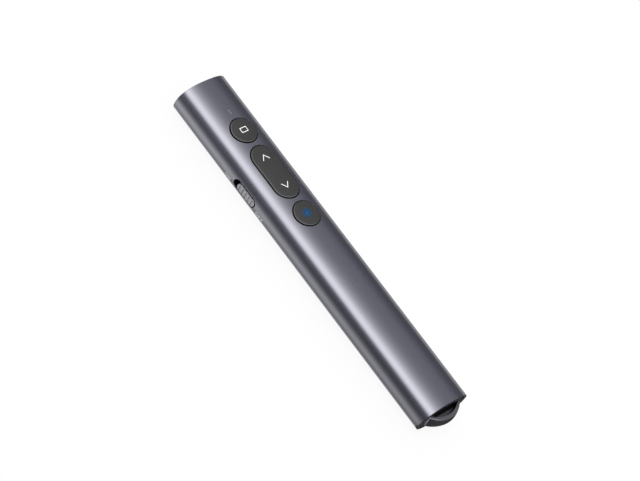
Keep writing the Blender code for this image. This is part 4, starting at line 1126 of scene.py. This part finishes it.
class PEN_OT_slider(bpy.types.Operator):
    """Makes the ribbed power slider"""

    bl_idname = "pen.slider"
    bl_label = "Power slider"

    def execute(self, context):
        size = sizes()
        x = node_middle("power_slider").x
        half_high = size.slider_height / 2
        reach = size.slider_length / 2 - half_high
        knob_edge, plate_thickness, root_depth, plate_margin = 0.00012, 0.0006, 0.0003, 0.0005
        plate = inner_half()[0] - plate_thickness
        root = plate - root_depth
        turn, side = side_turn(x, size.slider_drop), side_height(size.slider_drop)

        def face(inset, depth):
            return [turn(along, up, side(up) - size.slider_sink - depth)
                    for along, up in stadium(half_high - inset, reach)]

        rings = [[turn(along, up, root) for along, up in stadium(half_high, reach)]]
        rings += [face(inset, depth) for inset, depth in quarter_round(knob_edge, 4)]
        rings += [face(half_high * (1 - share), 0.0) for share in (0.75, 0.55, 0.35, 0.15)]
        slider = solid("slider_knob", loft(rings))

        floor = size.half_width - size.slider_sink - size.groove_depth
        half_groove = [(0.5, 0.25), (0.42, 0.06), (0.3, 0.0)]
        profile = [(-along, up) for along, up in half_groove] + half_groove[::-1]
        flare, flare_rise, groove_reach = size.groove_width * 0.62, size.groove_depth * 1.15, 0.004
        grooves = []
        for number in range(size.rib_count):
            middle = x + (number - (size.rib_count - 1) / 2) * size.rib_pitch
            outline = [(middle + along * size.groove_width, floor + up * size.groove_depth)
                       for along, up in profile]
            outline += [(middle + flare, floor + flare_rise), (middle + flare, size.half_width + overrun),
                        (middle - flare, size.half_width + overrun), (middle - flare, floor + flare_rise)]
            grooves.append(loft([
                [(px, -py, level) for px, py in outline] for level in (-groove_reach, groove_reach)]))
        cut(slider, *grooves)

        half_long, half_plate = size.slider_length / 2 + overrun, size.slot_height / 2 + plate_margin
        join(slider, box((x - half_long, -plate, -size.slot_drop - half_plate),
                         (x + half_long, -plate + plate_thickness, -size.slot_drop + half_plate)))
        lever, lever_half = node_middle("switch_lever"), node_half("switch_lever")
        fork_out, fork_depth, fork_in = 0.0018, 0.0016, lever_half.x + size.fit_gap
        for low, high in ((-fork_out, -fork_in), (fork_in, fork_out)):
            join(slider, box((lever.x + low, -root, lever.z - lever_half.z),
                             (lever.x + high, -plate + fork_depth, lever.z + lever_half.z)))
        finished(slider, "slider_plastic", "power_switch", "power_slider")
        # Painted shade: the faces inside the tube, the knob's upward-facing edge walls and its end walls get
        # the near-black shaded plastic.
        edgeways, crossways, end_share, margin = 0.4, 0.6, 0.8, 0.0001
        lined(slider, "shaded_plastic", lambda middle, normal: (
            middle.y > -plate - margin
            or abs(normal.y) < edgeways and abs(normal.x) < crossways and normal.z > 0 and middle.z > 0
            or abs(normal.y) < edgeways and abs(middle.x - x) > reach + half_high * end_share))
        return {"FINISHED"}


# Tail

tab_root = 0.0002       # metres; how far the tab reaches into the tail piece


def arc_points(radius, centre_x, limit, steps):
    """Points (x, y) on an arc round a centre on the pen's middle line, to a limit either way."""
    turns = [limit * (2 * step / steps - 1) for step in range(steps + 1)]
    return [(centre_x + radius * math.cos(turn), radius * math.sin(turn)) for turn in turns]


def scoop_outline(grow, back, centre_x):
    """The D of the scoop seen from above: a flat back, straight sides and the tab's inner arc."""
    half, radius = sizes().scoop_half_width + grow, sizes().tab_inner_radius + grow
    return [(back - grow, half), (back - grow, -half)] + arc_points(
        radius, centre_x, math.asin(half / radius), 48)


def web_outline(radius, back, centre_x):
    """The part of the tab's inner round that lies beyond a straight edge."""
    return arc_points(radius, centre_x, math.acos((back - centre_x) / radius), 32)


def tab_ring(level, inset=0.0):
    """The tab's outline at a level: its outer arc, with a narrow flat where it meets the tube."""
    size = sizes()
    share = (level / size.tab_top) ** 2
    radius = size.tab_radius + (size.rim_radius - size.tab_radius) * share
    centre_x = tube_length + size.tab_stand + (size.rim_stand - size.tab_stand) * share - radius
    radius -= inset
    rise = (level + size.tab_depth) / (size.tab_top + size.tab_depth)
    facet = size.facet_width * (1 - size.facet_taper * rise)
    arc = arc_points(radius, centre_x, math.acos((tube_length + facet - centre_x) / radius), 96)
    root = tube_length - tab_root
    return ring_z([(root, arc[0][1])] + arc + [(root, arc[-1][1])], level)


class PEN_OT_receiver(bpy.types.Operator):
    """Makes the receiver's plug with its scoop and pull tab"""

    bl_idname = "pen.receiver"
    bl_label = "Receiver plug"

    def execute(self, context):
        size = sizes()
        front = node_middle("receiver_plug").x - node_half("receiver_plug").x
        wide, high = inner_half()
        front_edge, back_edge = 0.00015, 0.0002
        plug = solid("receiver_grip", loft(
            edged_rings(wide, high, front, tube_length, front_edge, back_edge)))

        centre_x = tube_length + size.tab_inner_stand - size.tab_inner_radius
        back, edge = tube_length - size.scoop_reach, size.mouth_edge
        top, bottom = size.tab_top, -size.tab_depth

        def mouth(grow, x):
            return ring_x(section_above(
                size.mouth_half_width + grow, size.mouth_half_height + grow, top - skim), x)

        rounded = [mouth(inset, tube_length - depth) for inset, depth in quarter_round(edge)[:-1]]
        cut(plug, loft([mouth(0.0, back), *rounded, mouth(edge, tube_length + overrun)]))

        rings = [tab_ring(top - depth, inset) for inset, depth in reversed(quarter_round(size.rim_edge, 5))]
        rings += [tab_ring(top + (bottom - top) * step / 9) for step in range(1, 9)]
        rings += [tab_ring(bottom + depth, inset) for inset, depth in quarter_round(size.tab_round)]
        join(plug, loft(rings))

        floor, floor_round = -size.scoop_floor, 0.0002
        scoop = [(-floor_round, floor - floor_round), (0.0, floor)]
        scoop += [(inset, top - depth) for inset, depth in quarter_round(size.tab_round)[:-1]]
        scoop.append((size.tab_round, top + overrun))
        cut(plug, loft([ring_z(scoop_outline(grow, back, centre_x), z) for grow, z in scoop]))
        web_overlap, web_edge, web_foot = 0.0003, 0.0001, floor - 2 * floor_round
        web_radius, web_back = size.tab_inner_radius + web_overlap, tube_length + size.web_stand
        join(plug, loft([
            ring_z(web_outline(web_radius, web_back + inset, centre_x), z)
            for inset, z in ((0.0, web_foot), (0.0, 0.0), (web_edge, web_edge))]))
        shell, shell_half, gap = node_middle("usb_shell"), node_half("usb_shell"), size.fit_gap
        cut(plug, box(
            (front - overrun, -shell_half.y - gap, shell.z - shell_half.z - gap),
            (shell.x + shell_half.x + gap, shell_half.y + gap, shell.z + shell_half.z + gap)))
        finished(plug, "tail_plastic", "receiver", "receiver_plug")

        def outward(middle, normal):
            return Vector((normal.x, normal.y)).dot((middle.x - centre_x, middle.y))

        slack, under_skin, upright, tilted, level, sloped, flat_up = 0.0008, 0.97, 0.2, 0.75, 0.9, 0.3, 0.97
        # Painted shade: the faces inside the mouth over the tab get the near-black shaded plastic.
        lined(plug, "shaded_plastic", lambda middle, normal: (
            back - edge < middle.x < tube_length - edge / 2
            and abs(middle.y) < size.scoop_half_width + slack
            and web_foot < middle.z < size.mouth_half_height + slack / 2
            and section_share(wide, high, middle.y, middle.z) < under_skin))
        # Painted light and shade: the scoop's floor gets its lighter finish that darkens toward the tube and
        # under the tab.
        lined(plug, "scoop_floor", lambda middle, normal: (
            normal.z > level and floor - 1.5 * floor_round < middle.z < 2 * web_edge and middle.x > back))
        # Painted light: the tab's outer side gets a slightly lighter copy of the tail plastic.
        lined(plug, "tab_side_lit", lambda middle, normal: (
            abs(normal.z) < tilted and middle.x > tube_length + web_edge
            and Vector((middle.x - centre_x, middle.y)).length > web_radius))
        # Painted light: the tab's top gets a copy of the tail plastic three times lighter.
        lined(plug, "tab_rim_lit", lambda middle, normal: (
            normal.z > sloped and middle.x > tube_length and middle.z > top - size.rim_edge))
        # Painted highlight: the outer half of the tab's rounded upper edge gets its lighter finish.
        lined(plug, "tab_edge_highlight", lambda middle, normal: (
            sloped < normal.z < flat_up and middle.x > tube_length
            and middle.z > top - size.rim_edge and outward(middle, normal) > 0.0))
        # Painted shade: the tab's inner side, which faces the scoop, gets the near-black shaded plastic.
        lined(plug, "shaded_plastic", lambda middle, normal: (
            middle.x > tube_length and abs(normal.z) < upright and middle.z < top - size.tab_round
            and outward(middle, normal) < 0.0))
        # Painted highlight: the narrow flats where the tab meets the tube get a much lighter copy of the
        # tail plastic.
        lined(plug, "tab_flat_highlight", lambda middle, normal: (
            tube_length < middle.x < tube_length + size.facet_width
            and abs(normal.x) < upright / 2 and normal.y * middle.y > sloped * abs(middle.y)))
        return {"FINISHED"}


class PEN_OT_connector(bpy.types.Operator):
    """Makes the receiver's connector: its shell and gold contacts"""

    bl_idname = "pen.connector"
    bl_label = "Connector"

    def execute(self, context):
        middle, half = node_middle("usb_shell"), node_half("usb_shell")
        front, back = middle.x - half.x, middle.x + half.x
        wall, corner, lead, seam_half = 0.0003, 0.0006, 0.00012, 0.00005
        latch_reach, latch_side, latch_half, latch_corner = 0.0055, 0.0026, 0.0011, 0.00025
        rings = []
        for x, inset in (
                (front, lead / 2), (front + lead, 0.0), (back - lead, 0.0), (back, lead / 2),
                (back, wall), (front, wall)):
            rings.append(ring_x(rounded_rectangle(half.y - inset, half.z - inset, corner - inset), x))
        shell = solid("connector_shell", loft(rings, closed=True))
        latch = []
        for side in (-1, 1):
            outline = [(front + latch_reach + along, side * latch_side + across)
                       for along, across in rounded_rectangle(latch_half, latch_half, latch_corner)]
            latch.append(loft([ring_z(outline, -half.z - overrun), ring_z(outline, half.z + overrun)]))
        seam = box((front - overrun, -seam_half, -half.z - overrun),
                   (back + overrun, seam_half, -half.z + wall / 2))
        cut(shell, *latch, seam)
        finished(shell, "steel", "receiver", "usb_shell")

        board_middle, board_half = node_middle("receiver_board"), node_half("receiver_board")
        pad_start = board_middle.x - board_half.x + 0.0004
        board_top = board_middle.z + board_half.z
        pad_half_width, pad_corner, pad_thickness = 0.0005, 0.0001, 0.00004
        pads = ((-0.0035, 0.0074), (-0.001, 0.0064), (0.001, 0.0064), (0.0035, 0.0074))     # (y, length)
        for number, (y, reach) in enumerate(pads):
            outline = [(pad_start + reach / 2 + along, y + across)
                       for along, across in rounded_rectangle(reach / 2, pad_half_width, pad_corner)]
            pad = solid("contact_%d" % (number + 1), loft([
                ring_z(outline, board_top), ring_z(outline, board_top + pad_thickness)]))
            finished(pad, "gold_plate", "receiver")
        return {"FINISHED"}


class PEN_OT_bay(bpy.types.Operator):
    """Makes the block that the receiver parks in"""

    bl_idname = "pen.bay"
    bl_label = "Receiver bay"

    def execute(self, context):
        gap = sizes().fit_gap
        middle, half = node_middle("receiver_bay"), node_half("receiver_bay")
        front, back = middle.x - half.x, middle.x + half.x
        front_edge, back_edge, corner, floor_depth, pocket_run = 0.0003, 0.0002, 0.0003, 0.002, 0.0005
        bay = solid("bay_block", loft(edged_rings(*inner_half(), front, back, front_edge, back_edge)))
        shell, floor = node_half("usb_shell"), front + floor_depth

        def cavity(grow, x):
            return ring_x(rounded_rectangle(shell.y + gap + grow, shell.z + gap + grow, corner + grow), x)

        rounded = [cavity(inset, back - depth) for inset, depth in quarter_round(corner)[:-1]]
        magnet_middle, magnet_half = node_middle("receiver_magnet"), node_half("receiver_magnet")
        pocket = magnet_half.y + gap
        cut(bay, loft([cavity(0.0, floor), *rounded, cavity(corner, back + overrun)]), turned_x([
            (magnet_middle.x - magnet_half.x - gap, pocket), (floor + pocket_run, pocket)]))
        finished(bay, "black_plastic", "tail_bay", "receiver_bay")
        return {"FINISHED"}


# Stage

camera_place = Vector((0.197903, -0.538924, 0.663610))
camera_right = Vector((0.5883882157, 0.7032680628, 0.3990154627))
camera_up = Vector((-0.7748330573, 0.3493227867, 0.5268845452))
camera_back = Vector((0.2311558800, -0.6191830283, 0.7504527544))
camera_lens, camera_sensor = 144.73, 36.0           # millimetres
camera_near = 0.01

# Lengths are in metres, angles in degrees from straight up, toward +y, and levels are in shares of white.
# The clear shares say how much of the paper's shadow the camera, and gloss and glass, don't see.
floor_clear, gloss_clear = 0.92, 0.4
floor_size, floor_drop = 4.0, 0.00002
tent_radius, tent_half_length, tent_reach, tent_steps = 0.5, 0.9, 90.5, 64
tent_strength = 3.2
tent_fade = (-0.26, 0.02)
flag_angles = (-56, -40)
head_flag, tail_flag = 1.44, 0.88
card_half_length, card_reach, card_height = 0.3, 0.5, 0.0003
card_fade = (-0.078, 0.078)
sight_lean = 0.25
tail_card = ((0.0665, -0.05), (0.30, 0.16), 0.0006, 0.12)   # low corner, high corner, height, level
far_reach, far_ends = 0.3, (1.0, 1.0)
far_levels = ((0.0112, 0.44), (0.035, 0.50), (0.06, 0.74), (0.11, 1.0), (0.3, 1.0))
near_reach, near_ends = 0.08, (1.27, 0.91)
near_levels = (
    (0.0112, 0.34), (0.0128, 0.46), (0.0142, 0.68), (0.0159, 0.98), (0.0172, 1.0), (0.0189, 0.95),
    (0.0225, 0.76), (0.0270, 0.54), (0.0380, 0.38), (0.0636, 0.27), (0.08, 0.22))
tent_levels = (
    (-90, 0.15), (-75, 0.17), (-62, 0.205), (-50, 0.26), (-43, 0.60), (-36, 2.20), (-26, 3.10),
    (-15, 3.10), (-8, 2.55), (0, 1.80), (7, 1.32), (14, 1.02), (20, 0.81), (26, 0.63), (32, 0.53),
    (43, 0.485), (49, 0.39), (55, 0.28), (62, 0.21), (80, 0.18), (86, 0.22), (90, 0.45))
cool_shadow, cool_level = 0.9, 0.5      # a light is bluer, the further it is under the level
lamps = (("top_lamp", -20.0, 4.0, 0.6), ("far_lamp", 40.0, 2.0, 0.8))       # angle, power, size
world_light = 0.6                       # strength of the surroundings as light


def studio_mesh(name, mesh):
    data = bpy.data.meshes.new(name)
    mesh.to_mesh(data)
    mesh.free()
    thing = bpy.data.objects.new(name, data)
    bpy.context.scene.collection.objects.link(thing)
    return thing


def lit_only(thing, finish):
    """Marks a thing of the studio that only shows as a reflection."""
    thing.data.materials.append(finish.material)
    thing.visible_camera = thing.visible_shadow = False
    thing.visible_diffuse = thing.visible_transmission = False


def glow_finish(name, strength):
    """White light of an even strength."""
    return Finish(name, even={
        "Base Color": (0.0, 0.0, 0.0), "Specular IOR Level": 0.0,
        "Emission Color": (1.0, 1.0, 1.0), "Emission Strength": strength})


def light_tint(level):
    """The grey of a level, a little bluer where it is dim."""
    return level, level, level * (1.0 + cool_shadow * max(0.0, cool_level - level) ** 2)


def grade(finish, share, stops, fade):
    """Makes a light follow (place, level) stops along a share of the way over it, times a fade."""
    tints = [(place, light_tint(level)) for place, level in stops]
    level = finish.node("ValToRGB", {"stops": tints}, {0: share})
    faded = finish.node("VectorMath", {"operation": "SCALE"}, {0: level, "Scale": fade})
    finish.feed("Emission Color", faded)


def light_tent():
    """A long half pipe over the pen: a softbox over the slider's side that fades across, and dark flags."""
    mesh = bmesh.new()
    rows = []
    for step in range(tent_steps + 1):
        angle = math.radians(tent_reach * (2 * step / tent_steps - 1))
        across, up = tent_radius * math.sin(angle), tent_radius * math.cos(angle)
        rows.append([mesh.verts.new((x, across, up)) for x in (-tent_half_length, tent_half_length)])
    for near, far in zip(rows, rows[1:]):
        mesh.faces.new((near[0], near[1], far[1], far[0]))
    tent = studio_mesh("light_tent", mesh)
    tent.location.z = pen_origin.z
    light = glow_finish("tent_light", tent_strength)
    turn = light.node("Math", {"operation": "ARCTAN2"}, {0: light.axis(1), 1: light.axis(2)})
    share = turn / math.radians(2 * tent_reach) + 0.5
    flagged = 1 - light.steps(share, *((angle / tent_reach + 1) / 2 for angle in flag_angles))
    fade = 1 + flagged * (head_flag - 1 - light.steps(light.axis(0), *tent_fade) * (head_flag - tail_flag))
    stops = [((angle / tent_reach + 1) / 2, level / tent_strength) for angle, level in tent_levels]
    grade(light, share, stops, fade)
    lit_only(tent, light)


def floor_card(name, low, high, height, light):
    """A card over the floor, which only shows as a reflection."""
    mesh = bmesh.new()
    outline = ((low[0], low[1]), (high[0], low[1]), (high[0], high[1]), (low[0], high[1]))
    mesh.faces.new([mesh.verts.new((x, y, height)) for x, y in outline])
    lit_only(studio_mesh(name, mesh), light)


def graded_card(name, way, reach, levels, ends):
    """A card beside the pen whose light follows its levels outward and fades from head to tail."""
    light = glow_finish(name + "_light", 1.0)
    across = light.axis(1) * way
    station = light.axis(0) + across * sight_lean
    fade = ends[0] - light.steps(station, *card_fade) * (ends[0] - ends[1])
    grade(light, across / reach, [(y / reach, level) for y, level in levels], fade)
    start, end = sorted((way * levels[0][0], way * card_reach))
    floor_card(name, (-card_half_length, start), (card_half_length, end), card_height, light)


def paper_floor():
    """Pale paper, whose shadow is fainter for the camera and for what shows in gloss and glass."""
    paper = Finish("floor_paper", roughness=0.9)
    tint = colours().floor
    paper.feed("Base Color", paper.mix(
        paper.noise(0.004, detail=3.0), shade(tint, 0.995), shade(tint, 1.005)))
    camera, gloss, glass = paper.rays()
    white = paper.node("Emission", {}, {"Color": (1.0, 1.0, 1.0), "Strength": 1.0})
    seen = paper.node("MixShader", {}, {
        0: camera * floor_clear + (gloss + glass) * gloss_clear,
        1: Value(paper, paper.shader.outputs[0]), 2: white})
    paper.plug(paper.tree.nodes["Material Output"].inputs["Surface"], seen)
    sheet = bmesh.new()
    bmesh.ops.create_grid(sheet, x_segments=1, y_segments=1, size=floor_size)
    floor = studio_mesh("floor", sheet)
    floor.location.z = -floor_drop
    floor.data.materials.append(paper.material)


class PEN_OT_stage(bpy.types.Operator):
    """Sets the camera, the floor, the studio lights and the white surroundings"""

    bl_idname = "pen.stage"
    bl_label = "Studio"

    def execute(self, context):
        scene = context.scene
        scene.view_settings.view_transform = "Standard"
        camera = scene.camera = bpy.data.objects.new("camera", bpy.data.cameras.new("camera"))
        scene.collection.objects.link(camera)
        turn = Matrix((camera_right, camera_up, camera_back)).transposed().to_4x4()
        camera.matrix_world = Matrix.Translation(camera_place) @ turn
        camera.data.lens = camera_lens
        camera.data.sensor_width = camera_sensor
        camera.data.sensor_fit = "HORIZONTAL"
        camera.data.clip_start = camera_near

        paper_floor()
        light_tent()
        graded_card("near_card", -1, near_reach, near_levels, near_ends)
        graded_card("far_card", 1, far_reach, far_levels, far_ends)
        low, high, height, level = tail_card
        floor_card("tail_card", low, high, height, glow_finish("tail_card_light", level))

        for name, angle, power, size in lamps:
            lamp = bpy.data.objects.new(name, bpy.data.lights.new(name, "AREA"))
            lamp.data.energy = power
            lamp.data.size = size
            lamp.visible_glossy = False
            lean = math.radians(angle)
            lamp.location = (0.0, math.sin(lean), math.cos(lean))
            lamp.rotation_euler = (-lean, 0.0, 0.0)
            scene.collection.objects.link(lamp)

        scene.world = bpy.data.worlds.new("studio")
        sky = Nodes(scene.world, "Background")
        camera_ray, gloss, glass = sky.rays()
        sky.feed("Color", (1.0, 1.0, 1.0))
        sky.feed("Strength", camera_ray.most(gloss).most(glass) * (1 - world_light) + world_light)
        return {"FINISHED"}


class PEN_PT_panel(bpy.types.Panel):
    """Lists the steps that build the pen"""

    bl_idname = "PEN_PT_panel"
    bl_label = "Presenter pen"
    bl_space_type = "VIEW_3D"
    bl_region_type = "UI"
    bl_category = "Pen"

    def draw(self, context):
        for step in steps:
            self.layout.operator(step.bl_idname)
        for group in (context.scene.pen_sizes, context.scene.pen_colours):
            for name in group.bl_rna.properties.keys():
                if name not in ("rna_type", "name"):
                    self.layout.prop(group, name)


steps = (
    PEN_OT_stage, PEN_OT_finishes, PEN_OT_tube, PEN_OT_head, PEN_OT_indicator, PEN_OT_keys, PEN_OT_key_marks,
    PEN_OT_slider, PEN_OT_switch_marks, PEN_OT_receiver, PEN_OT_connector, PEN_OT_bay)


def register():
    for kind in (PenSizes, PenColours) + steps + (PEN_PT_panel,):
        bpy.utils.register_class(kind)
    bpy.types.Scene.pen_sizes = bpy.props.PointerProperty(type=PenSizes)
    bpy.types.Scene.pen_colours = bpy.props.PointerProperty(type=PenColours)


def unregister():
    del bpy.types.Scene.pen_sizes
    del bpy.types.Scene.pen_colours
    for kind in reversed((PenSizes, PenColours) + steps + (PEN_PT_panel,)):
        bpy.utils.unregister_class(kind)


def corners(bounds):
    return [list(corner) for corner in bounds]


def main():
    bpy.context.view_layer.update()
    register()
    for step in steps:
        group, name = step.bl_idname.split(".")
        getattr(getattr(bpy.ops, group), name)()


if __name__ == "__main__":
    main()
